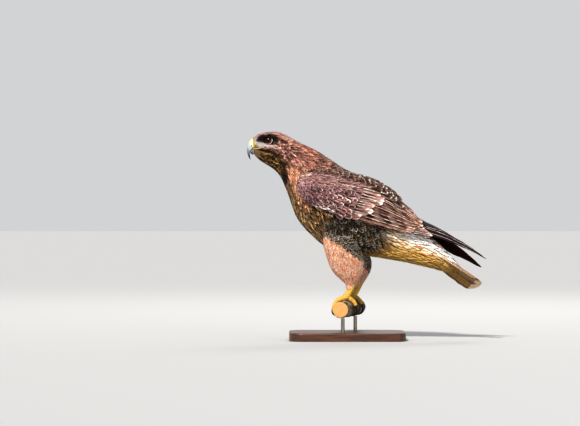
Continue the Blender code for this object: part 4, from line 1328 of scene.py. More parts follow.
@dataclass(frozen=True)
class Plumage:
    """The colours and markings of the body's feathers."""

    crown: Colour = tone(190, 132, 116)
    crown_dark: Colour = tone(84, 46, 40)
    cinnamon: Colour = tone(222, 158, 124)
    cheek: Colour = tone(150, 102, 92)
    lore: Colour = tone(206, 196, 196)
    throat: Colour = tone(34, 21, 14)
    throat_streak: Colour = tone(140, 104, 58)
    black: Colour = tone(18, 12, 10)
    breast: Colour = tone(178, 134, 86)
    breast_dark: Colour = tone(24, 14, 10)
    flank: Colour = tone(70, 54, 42)
    flank_grey: Colour = tone(196, 184, 166)
    buff: Colour = tone(240, 216, 172)
    # The vent's golden buff is partly the feathers' own buff and partly the yellow of reflected light,
    # painted in.
    vent: Colour = tone(198, 160, 92)
    vent_dark: Colour = tone(146, 104, 50)
    vent_spot: Colour = tone(186, 98, 46)
    white: Colour = tone(255, 247, 240)
    mantle: Colour = tone(134, 94, 80)
    mantle_dark: Colour = tone(48, 28, 24)
    blotch: Colour = tone(238, 212, 188)
    rufous: Colour = tone(244, 160, 114)
    rufous_pale: Colour = tone(255, 234, 216)

    @staticmethod
    def sized(station: Array) -> tuple[Array, Array]:
        """Length and half width of the feathers at stations."""
        rows = (0.0, 1.5, 4.0, 6.0, 8.0, 11.0, 15.0, 19.0, 23.0)
        length = np.interp(station, rows, (2.8, 4.2, 6.8, 9.5, 13.0, 17.0, 20.0, 22.0, 26.0))
        width = np.interp(station, rows, (0.6, 0.8, 1.1, 1.5, 2.1, 3.0, 3.5, 3.7, 4.0))
        return length, width

    @staticmethod
    def droop(station: Array, turn: Array) -> Array:
        """How far the feathers turn downwards from the body's own line, in radians."""
        flank = smooth(1.5, 0.6, np.hypot((station - 15.8) / 2.6, (turn - 112) / 30))
        cheek = smooth(1.5, 0.6, np.hypot((station - 5.0) / 2.2, (turn - 85) / 30))
        return 0.62 * flank + 0.16 * cheek

    def body(self, station: Array, turn: Array, draw: np.random.Generator) -> Style:
        """The look of the body's feathers.

        Args:
            station: How far back each root is, in rows of the body's table.
            turn: Degrees from the top, 0 to 180.
            draw: The source of small differences.

        Returns:
            The style.
        """
        style = Style(len(station))
        s = station + draw.normal(0.0, 0.12, len(station))
        w = turn + draw.normal(0.0, 2.2, len(turn))
        length, width = self.sized(station)

        def zone(s0: float, w0: float, ds: float, dw: float, soft: float = 0.3) -> Array:
            """A soft oval of the body's net."""
            return smooth(1 + soft, 1 - soft, np.hypot((s - s0) / ds, (w - w0) / dw))

        lift = np.interp(s, (0, 3, 5, 11, 24), (0.1, 0.25, 0.5, 1.1, 1.1))
        style.paint(length=length, half_width=width, lift=lift)
        self._upper(style, s, w, zone)
        self._face(style, s, w, zone, draw)
        self._under(style, s, w, zone, draw)
        self._rear(style, s, w, zone, draw)
        stations = (0.0, 3.0, 6.0, 11.0, 16.5, 18.5)
        style.vary(draw, np.interp(s, stations, (0.20, 0.30, 0.40, 0.34, 0.24, 0.08)))
        return style

    def _upper(self, style: Style, s: Array, w: Array, zone: Callable[..., Array]) -> None:
        """Crown, nape, neck and mantle."""
        style.paint(
            ground=self.crown, mark=self.cinnamon, shade=self.crown_dark, edge=0.3, tip=0.1, streak=0.45
        )
        # Paler pink over the top of the head: painted highlight where the light falls on the crown.
        style.paint(
            zone(3.0, 15, 3.6, 34), ground=tone(206, 152, 144), mark=tone(250, 214, 208), streak=0.38
        )
        style.paint(
            zone(5.6, 38, 2.6, 8), ground=tone(220, 164, 138), mark=tone(244, 206, 182), streak=0.26
        )
        style.paint(zone(8.6, 72, 1.9, 30), mark=tone(246, 204, 182), streak=0.46)
        mantle = smooth(8.8, 11.0, s) * smooth(100, 70, w)
        style.paint(
            mantle, ground=self.mantle, shade=self.mantle_dark, mark=self.blotch, edge=0.18, tip=0.05
        )
        style.paint(mantle, streak=0.5)

    def _face(
        self, style: Style, s: Array, w: Array, zone: Callable[..., Array], draw: np.random.Generator
    ) -> None:
        """Cheeks, throat, lores and the dark line through the eye."""
        some = draw.uniform(0.0, 1.0, len(s))
        cheek = zone(5.8, 74, 2.8, 28)
        style.paint(
            cheek, ground=self.cheek, mark=tone(236, 190, 174), shade=tone(62, 36, 32), streak=0.42, edge=0.3
        )
        style.paint(cheek * (some < 0.3), ground=tone(226, 176, 158), streak=0.2)
        style.paint(cheek * (some > 0.68), ground=tone(84, 50, 44), streak=0.5)
        throat = smooth(88, 108, w) * smooth(8.8, 7.2, s) * smooth(0.5, 1.2, s)
        style.paint(
            throat, ground=self.throat, mark=self.throat_streak, shade=self.black, edge=0.34, tip=0.03
        )
        style.paint(throat, streak=0.5)
        stripe = np.array([noise.noise(Vector((a * 0.15, b * 0.5, 9.0))) for a, b in zip(w, s)])
        pale = throat * smooth(0.02, 0.22, stripe) * (some < 0.8)
        style.paint(pale, mark=tone(236, 200, 140), ground=tone(196, 152, 92), streak=0.2)
        style.paint(
            throat * smooth(5.2, 7.0, s) * (some < 0.8), mark=tone(110, 74, 48), ground=tone(44, 28, 20)
        )
        style.paint(
            zone(0.9, 70, 1.5, 26), ground=self.lore, mark=self.white, shade=tone(120, 108, 104), streak=0.2
        )
        style.paint(
            zone(2.2, 80, 1.6, 9), ground=self.lore, mark=self.white, shade=tone(96, 84, 82), streak=0.34
        )
        style.paint(zone(0.5, 115, 0.9, 40), ground=tone(120, 96, 66), mark=self.buff, streak=0.3)
        style.paint(zone(4.1, 79, 0.6, 6), ground=tone(206, 176, 164), mark=self.white, streak=0.3)
        style.paint(
            zone(2.2, 57, 1.5, 12), ground=self.black, mark=tone(54, 38, 32), shade=self.black, streak=0.6
        )
        style.paint(
            zone(3.5, 55, 1.2, 20), ground=self.black, mark=tone(60, 40, 34), shade=self.black, streak=0.6
        )
        style.paint(zone(3.3, 79, 0.8, 5), ground=tone(226, 206, 198), mark=self.white, streak=0.2)
        style.paint(
            zone(5.2, 50, 1.1, 5), ground=self.crown_dark, mark=self.crown, shade=self.black, streak=0.5
        )
        style.paint(zone(2.8, 98, 2.2, 5), ground=self.black, mark=tone(70, 46, 34), streak=0.6)

    def _under(
        self, style: Style, s: Array, w: Array, zone: Callable[..., Array], draw: np.random.Generator
    ) -> None:
        """Sides of the neck, breast, belly and flanks."""
        some = draw.uniform(0.0, 1.0, len(s))
        side = zone(9.4, 112, 2.2, 24)
        style.paint(
            side, ground=self.cinnamon, mark=tone(255, 224, 196), shade=tone(96, 52, 36), edge=0.3, tip=0.1
        )
        style.paint(side, streak=0.34)
        breast = smooth(7.6, 9.0, s) * smooth(124, 142, w)
        breast = np.maximum(breast, smooth(10.6, 12.0, s) * smooth(82, 98, w)) * smooth(19.5, 17.0, s)
        spacing = np.interp(s, (8.0, 11.0, 14.0, 17.0), (2.6, 3.7, 4.7, 4.6))
        style.paint(breast, ground=self.breast, mark=self.buff, shade=self.breast_dark, edge=0.22, tip=0.0)
        style.paint(breast, streak=0.66, length=24.0, half_width=spacing * 0.66, lift=0.6)
        style.paint(breast * (some < 0.25), ground=tone(222, 188, 138), streak=0.5)
        flank = zone(15.9, 108, 2.7, 34, 0.2)
        style.paint(
            flank, ground=self.flank, mark=tone(134, 124, 108), shade=self.black, edge=0.26, tip=0.07
        )
        style.paint(flank, streak=0.55, length=20.0, half_width=3.8, lift=0.7)
        style.paint(flank * (some < 0.35), edge=0.46, tip=0.09, streak=0.3, mark=tone(206, 202, 190))
        style.paint(flank * (some < 0.07), ground=tone(126, 120, 108), streak=0.3)
        style.paint(flank * (some > 0.8), ground=tone(128, 92, 58), mark=tone(186, 160, 118))

    def _rear(
        self, style: Style, s: Array, w: Array, zone: Callable[..., Array], draw: np.random.Generator
    ) -> None:
        """Vent, undertail, the white patch and the rump."""
        some = draw.uniform(0.0, 1.0, len(s))
        vent = smooth(17.4, 18.4, s + (w - 110) * 0.012) * smooth(78, 92, w)
        # Vent and undertail: golden buff, its yellow partly painted reflected light.
        style.paint(
            vent, ground=self.vent, mark=tone(228, 192, 122), shade=self.vent_dark, edge=0.2, streak=0.16
        )
        style.paint(vent, length=30.0, half_width=3.2, lift=0.2)
        rump = smooth(17.0, 19.0, s) * smooth(64, 48, w)
        style.paint(
            rump, ground=tone(150, 92, 62), mark=self.blotch, shade=self.mantle_dark, streak=0.34, edge=0.14
        )
        cream = zone(20.4, 80, 2.9, 26)
        style.paint(
            cream, ground=tone(246, 222, 188), mark=self.white, shade=tone(224, 184, 140), streak=0.06
        )
        spotted = vent * zone(20.8, 108, 2.8, 26) * (some < 0.34)
        style.paint(
            spotted * 0.85, ground=tone(188, 108, 54), mark=tone(240, 200, 140), shade=self.vent_spot
        )
        pale = zone(20.3, 68, 2.4, 23)
        style.paint(
            pale, ground=self.white, mark=self.white, shade=tone(244, 232, 222), streak=0.0, edge=0.0
        )
        style.paint(pale, bar_strength=0.0, half_width=3.8, length=26.0)
        grey = zone(22.2, 42, 1.5, 24) * (some < 0.75)
        style.paint(
            grey, ground=tone(204, 198, 202), mark=self.white, shade=tone(74, 66, 74), streak=0.4, edge=0.2
        )


@dataclass
class Trunk:
    """Head, neck, body and tail root: the skin and its coat.

    On the breast and belly the feathers stand in as many columns in every ring, so that their dark middles
    run on as streaks.
    """

    plumage: Plumage = field(default_factory=Plumage)
    seed: int = 3
    columns: int = 88
    columns_from: float = 8.0
    columns_to: float = 17.0

    @staticmethod
    def coat_depth(station: Array) -> Array:
        """How thick the coat is along the body."""
        return np.interp(station, (0.0, 3.0, 7.0, 11.0, 24.0), (0.7, 1.1, 2.0, 2.8, 2.8))

    def skin(self) -> bpy.types.Object:
        """Makes the skin of the trunk, sunk by the coat's depth."""

        def surface(along: Array, around: Array) -> Array:
            """The skin's points."""
            station = along * BODY.end
            return trunk(station, around * TURN, -self.coat_depth(station) - 0.15)

        return shaped_grid("skin", 190, 96, surface)

    def roots(self, first: float, last: float, draw: np.random.Generator) -> tuple[Array, Array]:
        """Roots in staggered rings between two stations.

        Args:
            first: The first station.
            last: The last station.
            draw: The source of small differences.

        Returns:
            The stations and angles of the roots.
        """

        def ring(at: float, odd: int) -> tuple[Array, Array, float]:
            """A ring round the body, its roots evenly apart."""
            probe = 0.05
            length, half_width = self.plumage.sized(np.array(at))
            pair = trunk(np.array((at, at + probe)), np.array((2.0, 2.0)), np.zeros(2))
            along = np.linalg.norm(np.diff(pair, axis=0))
            turns = np.linspace(0.0, TURN, 97)
            ring = trunk(np.full(97, at), turns, np.zeros(97))
            reach = np.concatenate(((0.0,), np.cumsum(np.linalg.norm(np.diff(ring, axis=0), axis=1))))
            in_columns = self.columns_from < at < self.columns_to
            count = self.columns if in_columns else int(reach[-1] / (1.4 * half_width))
            shares = np.arange(count) / count
            around = np.interp(shares * reach[-1], reach, turns)
            below = smooth(70.0, 95.0, from_top(around))
            loose = 1.0 - below if in_columns else np.ones(count)
            strewn = draw.normal(0.0, 0.14, count) * (0.35 + 0.65 * loose)
            shares = shares + (0.5 * odd * loose + strewn) / count
            angles = np.interp((shares % 1.0) * reach[-1], reach, turns)
            gap = 0.30 * length / (along / probe)
            return np.full(count, at) + draw.normal(0.0, 0.22 * gap, count), angles, gap

        return staggered(first, last, ring)

    @staticmethod
    def keep_out(points: Array) -> Array:
        """How far points are outside the eyes and their lids."""
        room = np.full(points.shape[:-1], 1e3)
        for side in (-1, 1):
            axis = eye_axis(side)
            offset = points - sided(EYE.centre, side)
            height = offset @ axis
            away = np.linalg.norm(offset - height[..., None] * axis, axis=-1)
            room = np.where(height > 0, np.minimum(room, away - EYE.lid_radius - 0.9), room)
        return room

    def coat(self, name: str, first: float, last: float) -> bpy.types.Object:
        """A length of the coat, round feathers on the back and flanks and narrow ones elsewhere.

        Args:
            name: The piece's name.
            first: The first station.
            last: The last station.

        Returns:
            The piece.
        """
        draw = np.random.default_rng(self.seed + int(first * 10))
        station, angle = self.roots(first, last, draw)
        behind = station > feather_line(angle) + draw.normal(0.0, 0.03, len(angle))
        station, angle = station[behind], angle[behind]
        turn = from_top(angle)
        style = self.plumage.body(station, turn, draw)
        strength = np.interp(station, (2, 5, 12, 16, 18), (0.3, 1.1, 1.1, 0.6, 0.2))
        style.clump(angle * 8.0, station * 1.2, strength)
        down = np.where(angle < math.pi, 1.0, -1.0)
        unwrap = on_unwrap(angle, station, TURN, BODY.end)
        yaw = down * self.plumage.droop(station, turn)
        roots = Roots(station, angle, unwrap, self.coat_depth(station), yaw)
        round_back = (station > 10.0) & (turn < 72)
        round_back |= np.hypot((station - 15.9) / 2.5, (turn - 108) / 32) < draw.uniform(0.2, 1.1, len(turn))
        outlines = ((VaneShape.LANCE, ~round_back), (VaneShape.ROUND, round_back))
        eyes = self.keep_out if first < BODY.head_end else None
        return tract(name, trunk, roots, style, outlines, draw, eyes)


@dataclass
class Half:
    """Something that the bird has on both sides."""

    side: int
    plumage: Plumage = field(default_factory=Plumage)

    @property
    def name(self) -> str:
        """The side's name."""
        return side_name(self.side)


@dataclass
class Leg(Half):
    """A leg: its trousers, bare shank, toes and claws."""

    depth: float = 2.4

    def skin(self) -> bpy.types.Object:
        """The trousers' skin, sunk by the coat's depth."""
        surface = thigh(self.side)

        def sunk(along: Array, around: Array) -> Array:
            """The skin's points."""
            return surface(along * THIGH.end, around * TURN, np.full(len(along), -self.depth))

        return shaped_grid("thigh_skin", 24, 40, sunk)

    def trousers(self) -> bpy.types.Object:
        """The feathers of the trousers: rufous with fine pale bars, dark at the upper rear."""
        draw = np.random.default_rng(41 + self.side)
        surface = thigh(self.side)

        def ring(at: float, odd: int) -> tuple[Array, Array, float]:
            """A ring round the thigh."""
            net = surface(np.full(65, at), np.linspace(0.0, TURN, 65), np.zeros(65))
            count = int(np.linalg.norm(np.diff(net, axis=0), axis=1).sum() / 2.5)
            angles = (np.arange(count) + 0.5 * odd + draw.normal(0, 0.15, count)) / count * TURN
            return np.full(count, at) + draw.normal(0.0, 0.03, count), angles, 0.17 if at < 6 else 0.25

        row, angle = staggered(0.2, THIGH.end, ring)
        place = surface(row, angle, np.zeros(len(row)))
        style = Style(len(row))
        style.paint(length=9.5, half_width=1.8, lift=0.7)
        style.paint(smooth(5.5, 7.6, row), length=7.0, half_width=1.7, lift=0.4)
        style.paint(ground=self.plumage.rufous, mark=self.plumage.rufous_pale, shade=tone(160, 74, 40))
        style.paint(edge=0.34, tip=0.09, streak=0.26, bar_count=1.4, bar_strength=0.62)
        style.paint(draw.uniform(0.0, 1.0, len(row)) < 0.2, ground=tone(252, 208, 176))
        line = 132.0 - (place[:, 0] + 32.0) * 0.84 - place[:, 2] + draw.normal(0.0, 1.3, len(row))
        dark = smooth(1.0, -3.0, line)
        style.paint(dark, ground=self.plumage.flank, mark=self.plumage.flank_grey, shade=self.plumage.black)
        style.paint(
            dark, edge=0.20, tip=0.06, streak=0.5, bar_strength=0.0, length=19.0, half_width=3.4, lift=0.9
        )
        pale = dark * (draw.uniform(0.0, 1.0, len(row)) < 0.4)
        style.paint(pale, edge=0.42, tip=0.09, streak=0.32, mark=tone(196, 190, 178))
        style.vary(draw, 0.18)
        unwrap = on_unwrap(angle / TURN % 1.0, row, 1.0, 8.5)
        roots = Roots(row, angle, unwrap, np.full(len(row), self.depth), np.zeros(len(row)))
        outlines = ((VaneShape.ROUND, dark > 0.5), (VaneShape.LANCE, dark <= 0.5))
        return tract("coat_trousers_" + self.name, surface, roots, style, outlines, draw)

    def ankle(self) -> Array:
        """The middle of the foot's pad."""
        return around_perch(self.side, 0.0, PERCH.radius + FOOT.skin_gap + FOOT.root_radius, 0.0)

    def shank(self) -> bpy.types.Object:
        """The bare shank with its broad plates in front."""
        low = self.ankle()
        path = np.array([low + np.array(FOOT.hock) * v for v in (0.0, 0.2, 0.4, 0.6, 0.78)])

        def radius(along: Array, around: Array) -> Array:
            """Thicker at both ends, with a step at each plate on the front."""
            plain = FOOT.shank_radius + 1.5 * (2 * 0.78 * along - 1) ** 2
            plate = (along * 15.0) % 1.0
            front = smooth(0.2, 0.7, np.cos((around - 0.5) * TURN))
            return plain * (1 + 0.06 * plate * front) - 0.2

        return sweep("shank_" + self.name, path, radius, 75, 24)

    def toe(self, toe: Toe) -> bpy.types.Object:
        """A toe that lies round the perch, with plates on its back."""
        start = toe.first * 0.3
        share = np.linspace(0.0, 1.0, 6)
        radii = FOOT.root_radius + (FOOT.tip_radius - FOOT.root_radius) * share
        path = around_perch(
            self.side, start + (toe.last - start) * share, PERCH.radius + FOOT.skin_gap + radii,
            toe.near + (toe.far - toe.near) * share,
        )

        def radius(along: Array, around: Array) -> Array:
            """Thinner to the tip, with a step at each plate and a round end."""
            plain = FOOT.root_radius + (FOOT.tip_radius - FOOT.root_radius) * along
            plate = (along * 13.0) % 1.0
            knuckle = 0.05 * np.cos(along * 3 * TURN)
            end = np.sqrt(np.maximum(1 - (np.maximum(along - 0.9, 0.0) / 0.11) ** 2, 0.05))
            return plain * (0.97 + 0.07 * plate * np.cos((around - 0.5) * math.pi) + knuckle) * end

        return sweep(f"toe_{self.name}_{toe.name}", path, radius, 60, 18)

    def claw(self, toe: Toe) -> bpy.types.Object:
        """A curved claw that tapers from its toe."""
        share = np.linspace(0.0, 1.0, 9)
        start = toe.last - math.copysign(5.0, toe.last)
        lift = FOOT.tip_radius + (0.6 - FOOT.tip_radius) * share + 3.0 * np.sin(math.pi * share)
        slope = (toe.far - toe.near) / (toe.last - toe.first)
        path = around_perch(
            self.side, start + toe.reach * share, PERCH.radius + FOOT.skin_gap + lift,
            toe.far + slope * toe.reach * share * 0.5,
        )

        def radius(along: Array, around: Array) -> Array:
            """Stout at the root and sharp at the tip."""
            return 3.0 * (1 - along) ** 0.75 + 0.12

        return sweep(f"talon_{self.name}_{toe.name}", path, radius, 40, 14)

    def pad(self) -> bpy.types.Object:
        """The foot's pad between the toes."""
        return ball("pad_" + self.name, self.ankle(), (8.0, 8.5, 5.0), 16, 28)


def join(target: bpy.types.Object, others: Sequence[bpy.types.Object]) -> bpy.types.Object:
    """Joins meshes to a target as one closed surface and removes them.

    Args:
        target: The object that stays.
        others: The objects that are joined to it.

    Returns:
        The target.
    """
    group = bpy.data.collections.new("joined")
    for obj in others:
        group.objects.link(obj)
    step = target.modifiers.new("join", "BOOLEAN")
    step.operation, step.operand_type, step.collection = "UNION", "COLLECTION", group
    graph = bpy.context.evaluated_depsgraph_get()
    mesh = bpy.data.meshes.new_from_object(target.evaluated_get(graph))
    target.modifiers.clear()
    target.data = mesh
    mesh.shade_smooth()
    for obj in others:
        bpy.data.objects.remove(obj)
    bpy.data.collections.remove(group)
    return target


@dataclass
class Wing(Half):
    """A folded wing: flight feathers in tiers, coverts and scapulars."""

    # Primaries from the innermost to the outermost: at and across of the tip, and width
    primary_tips: Array = field(default_factory=lambda: np.array([
        (10.0, 0.74, 26.0), (10.9, 0.78, 25.0), (11.8, 0.76, 22.0), (12.5, 0.70, 19.0),
        (13.0, 0.50, 17.0), (12.6, 0.30, 15.0), (11.7, 0.16, 13.0),
    ]))

    def skin(self) -> bpy.types.Object:
        """The wing's arm under its coverts."""
        surface = wing(self.side)

        def core(along: Array, around: Array) -> Array:
            """Out over the arm and back under it."""
            at = 0.3 + along * 7.4
            top = np.interp(at, (0.3, 0.7, 2.4, 4.2, 5.4, 7.7), (3.5, 3.0, 3.4, 7.0, 11.0, 11.5))
            under = np.interp(at, (0.0, 5.0, 7.7), (22.0, 20.0, 17.0))
            half = np.minimum(around * 2, 2 - around * 2)
            across = 0.04 + 0.92 * half
            depth = np.where(around < 0.5, top, under)
            return surface(at, across, -depth)

        return shaped_grid("wing_skin", 40, 40, core)

    def vane(
        self, root: Sequence[float], tip: Sequence[float], width: float, depths: Sequence[float],
        slope: float, rise_span: Sequence[float] = (9.0, 11.0), blunt: float = 0.55,
    ) -> LongVane:
        """A feather over the folded wing.

        Args:
            root: Station and share across of its root.
            tip: The same of its tip.
            width: Its whole width.
            depths: How deep it lies before and after the stations of rise_span.
            slope: How much deeper each millimetre across is.
            rise_span: Where it passes from the first depth to the second.
            blunt: How wide it still is near its end.

        Returns:
            The feather.
        """
        surface = wing(self.side)
        (s0, t0), (s1, t1) = root, tip

        def place(along: Array, across: Array, back: Array) -> Array:
            """Points by share along, millimetres across and depth."""
            at = s0 + (s1 - s0) * along
            row = rows_at(WING.rows, at)
            chord = np.linalg.norm(row[..., 3:6] - row[..., :3], axis=-1)
            share = t0 + (t1 - t0) * along + across / chord
            rise = smooth(*rise_span, at)
            sunk = 3.5 * (1.0 - smooth(0.0, 0.24, along))
            depth = depths[0] + (depths[1] - depths[0]) * rise + slope * across + sunk + back
            inside = np.clip(share, 0.0, 1.0)
            return surface(at, inside, -depth - 2.0 * np.abs(share - inside))

        steps = (0.0, 0.12, 0.3, 0.6, 0.86, 0.94, 0.98, 1.0)
        widths = (0.45, 0.75, 0.95, 1.0, 0.92, blunt + 0.2, blunt, 0.10)
        return LongVane(place, width / 2, steps, widths)

    def tier(
        self, draw: np.random.Generator, count: int, lower: Sequence[float], climb: Sequence[float],
        bow: float, strewn: Sequence[float], width: float, depths: Sequence[float], slope: float,
    ) -> list[LongVane]:
        """Feathers side by side from the wing's lower edge up.

        Args:
            draw: The source of small differences.
            count: How many feathers.
            lower: Station and share across of the lowest one's root and of its tip.
            climb: How much further all four are at the highest one.
            bow: How far the middle ones' tips reach back past the line.
            strewn: How much the tip's station, the width and the tip's share across differ.
            width: Their whole width.
            depths: How deep they lie.
            slope: How much deeper each millimetre across is.

        Returns:
            The feathers.
        """
        vanes = []
        for k in range(count):
            share = k / (count - 1)
            jitter = draw.uniform(-1.0, 1.0, 3)
            ends = [low + more * share for low, more in zip(lower, climb)]
            tip_at = ends[2] + bow * math.sin(math.pi * share) + strewn[0] * jitter[0]
            tip = (tip_at, ends[3] + strewn[2] * jitter[2])
            vanes.append(self.vane(ends[:2], tip, width * (1 + strewn[1] * jitter[1]), depths, slope))
        return vanes

    def flight(self) -> bpy.types.Object:
        """Ten primaries and fifteen secondaries and tertials."""
        draw = np.random.default_rng(11)
        plumes = Plumes("flight_feathers_" + self.name)
        vanes = []
        for k in range(10):
            at, across, width = rows_at(self.primary_tips, np.array(k * 6 / 9))
            depths = (8.6 + 0.6 * k, 0.62 * (k - 4.5) + 0.4)
            root = (6.3, 0.60 - 0.02 * k)
            vanes.append(self.vane(root, (at, across), width * 0.95, depths, 0.02, blunt=0.4))
        style = Style(10)
        # The thin pale edges on every third primary are painted highlights along the feather edges.
        style.paint(ground=tone(38, 25, 26), mark=tone(226, 210, 204), shade=tone(14, 8, 9))
        style.paint(edge=np.where(np.arange(10) % 3 == 1, 0.09, 0.0), bar_strength=0.0, streak=0.35)
        # The far wing's primaries are a darker, redder copy of the near ones: painted shade, as they face
        # away from the light.
        if self.side > 0:
            style.paint(ground=tone(48, 18, 16), mark=tone(70, 30, 26), shade=tone(10, 4, 4), edge=0.02)
        style.vary(draw, 0.05)
        long_feathers(plumes, vanes, style, draw, rows=20, columns=6)
        count = 15
        lower, climb, strewn = (3.7, 0.08, 8.3, 0.07), (0.9, 0.85, 0.4, 0.86), (0.16, 0.10, 0.012)
        vanes = self.tier(draw, count, lower, climb, 0.6, strewn, 21.0, (4.6, 4.6), 0.12)
        style = Style(count)
        style.paint(ground=tone(112, 76, 64), mark=tone(250, 222, 206), shade=tone(30, 17, 16))
        style.paint(edge=draw.uniform(0.02, 0.13, count), tip=draw.uniform(0.02, 0.05, count))
        style.paint(bar_count=5.5, bar_strength=0.08, streak=0.80)
        style.vary(draw, 0.24)
        long_feathers(plumes, vanes, style, draw, rows=16, columns=6, first_cell=20)
        return plumes.build()

    def coverts(self) -> bpy.types.Object:
        """The greater and primary coverts."""
        draw = np.random.default_rng(12)
        plumes = Plumes("greater_coverts_" + self.name)
        vanes = []
        for k in range(7):
            share = k / 6
            root, tip = (5.4, 0.36 - 0.05 * k), (8.7 + 0.9 * share, 0.46 - 0.06 * k)
            vanes.append(self.vane(root, tip, 13.0, (5.6 + 0.3 * k, 5.6 + 0.3 * k), 0.04))
        lower, climb, strewn = (1.9, 0.07, 5.5, 0.06), (1.0, 0.79, 1.2, 0.84), (0.22, 0.08, 0.018)
        vanes += self.tier(draw, 17, lower, climb, 0.3, strewn, 17.0, (1.7, 1.7), 0.10)
        count = len(vanes)
        style = Style(count)
        style.paint(ground=tone(130, 92, 84), mark=tone(255, 236, 226), shade=tone(38, 22, 23))
        style.paint(edge=draw.uniform(0.05, 0.16, count), tip=draw.uniform(0.03, 0.08, count))
        style.paint(bar_count=3.5, bar_strength=0.10, streak=0.80)
        style.vary(draw, 0.26)
        long_feathers(plumes, vanes, style, draw, rows=14, columns=6)
        return plumes.build()

    @staticmethod
    def roots(at: Array, share: Array, depth: float) -> Roots:
        """Roots of small feathers on the wing, all as deep and unturned."""
        return Roots(at, share, on_unwrap(at, share, 8.5, 1.0), np.full(len(at), depth), np.zeros(len(at)))

    def small_coverts(self) -> bpy.types.Object:
        """The lesser and median coverts, from the wrist back, and the scapulars over the upper edge."""
        draw = np.random.default_rng(13)

        def ring(at: float, odd: int) -> tuple[Array, Array, float]:
            """A row across the wing, further back towards the upper edge."""
            row = rows_at(WING.rows, np.array(at))
            chord = np.linalg.norm(row[3:6] - row[:3]) + row[6]
            count = max(int(chord / np.interp(at, (0.0, 2.5, 5.0), (3.0, 4.0, 6.0))), 4)
            share = (np.arange(count) + 0.5 + 0.5 * odd - 0.25 + draw.normal(0, 0.12, count)) / count
            ats = at + draw.normal(0.0, 0.02, count) + 0.55 * share - 0.2
            return ats, share, np.interp(at, (0.0, 0.8, 2.5, 5.0), (0.14, 0.14, 0.22, 0.36))

        at, share = staggered(0.05, 4.9, ring)
        at, share = np.clip(at, 0.02, 5.4), np.clip(share, 0.01, 0.99)
        style = Style(len(at))
        length = np.interp(at, (0.0, 2.0, 5.0), (8.0, 13.0, 22.0))
        style.paint(length=length, half_width=np.interp(at, (0.0, 2.0, 5.0), (1.9, 2.8, 5.4)), lift=0.7)
        style.paint(ground=tone(180, 136, 136), mark=tone(252, 224, 218), shade=tone(66, 42, 48))
        style.paint(
            edge=draw.uniform(0.05, 0.25, len(at)), tip=0.05, streak=draw.uniform(0.3, 0.6, len(at))
        )
        upper = smooth(0.42, 0.62, share)
        style.paint(upper, ground=tone(188, 144, 136), mark=tone(252, 226, 216), edge=0.24, streak=0.46)
        style.paint(upper, half_width=np.interp(at, (0.0, 2.0, 5.0), (1.5, 2.2, 3.6)))
        low = smooth(0.50, 0.30, share) * smooth(1.0, 1.8, at) * smooth(3.8, 3.2, at)
        style.paint(
            low, ground=tone(136, 98, 102), mark=tone(236, 202, 198), shade=tone(46, 30, 38), edge=0.09
        )
        crescent = smooth(0.62, 0.45, share) * smooth(3.0, 3.6, at)
        style.paint(crescent, ground=tone(144, 102, 100), mark=tone(255, 240, 232), shade=tone(50, 30, 34))
        style.paint(crescent, edge=draw.uniform(0.08, 0.40, len(at)), tip=draw.uniform(0.0, 0.10, len(at)))
        fleck = (draw.uniform(0.0, 1.0, len(at)) < 0.3) * smooth(1.6, 3.0, at)
        style.paint(
            fleck, ground=tone(160, 118, 108), mark=tone(255, 240, 230), tip=0.11, edge=0.40, streak=0.4
        )
        line = smooth(0.86, 0.90, share) * smooth(0.7, 1.1, at) * smooth(2.8, 2.3, at)
        style.paint(line, ground=self.plumage.black, mark=tone(60, 40, 38), shade=self.plumage.black)
        rim = smooth(0.72, 0.78, share) * smooth(0.90, 0.85, share) * smooth(1.7, 1.2, at)
        style.paint(rim, ground=tone(222, 186, 168), mark=tone(250, 222, 204), streak=0.1)
        streak = smooth(0.05, 0.03, share) * smooth(2.3, 2.5, at) * smooth(3.6, 3.4, at)
        style.paint(streak, ground=self.plumage.white, mark=self.plumage.white, shade=self.plumage.lore)
        style.paint(streak, half_width=1.4)
        style.vary(draw, 0.24)
        style.clump(at * 2.0 + share * 3.0, share * 16.0, 0.7)
        roots = self.roots(at, share, 2.6)
        outlines = ((VaneShape.LANCE, upper > 0.5), (VaneShape.ROUND, upper <= 0.5))
        return tract("lesser_coverts_" + self.name, wing(self.side), roots, style, outlines, draw)

    def scapulars(self) -> bpy.types.Object:
        """Rounded feathers of the shoulder that lie over the wing's upper edge, blotched with white."""
        draw = np.random.default_rng(14)
        span, count = (1.6, 7.3), 7

        def ring(at: float, odd: int) -> tuple[Array, Array, float]:
            """A short row along the upper edge."""
            low = np.interp(at, (1.6, 3.0, 5.0, 6.6, 7.3), (0.93, 0.86, 0.80, 0.68, 0.62))
            share = low + (1.0 - low) * (np.arange(count) + 0.5 * odd) / count
            ats = np.full(count, at) + draw.normal(0.0, 0.05, count)
            return ats, share + draw.normal(0.0, 0.006, count), 0.34

        at, share = staggered(*span, ring)
        share = np.clip(share, 0.0, 1.0)
        style = Style(len(at))
        style.paint(length=np.interp(at, span, (17.0, 27.0)), half_width=np.interp(at, span, (4.5, 8.0)))
        style.paint(lift=1.2, ground=tone(122, 84, 72), mark=self.plumage.blotch, shade=tone(40, 22, 20))
        style.paint(edge=0.14, tip=0.05, streak=0.6)
        blotched = smooth(3.4, 4.2, at) * (draw.uniform(0, 1, len(at)) < 0.45)
        style.paint(blotched, edge=0.26, tip=0.11, mark=tone(255, 240, 222))
        style.vary(draw, 0.20)
        outlines = ((VaneShape.ROUND, np.ones(len(at), bool)),)
        name = "scapulars_" + self.name
        return tract(name, wing(self.side), self.roots(at, share, 1.4), style, outlines, draw)


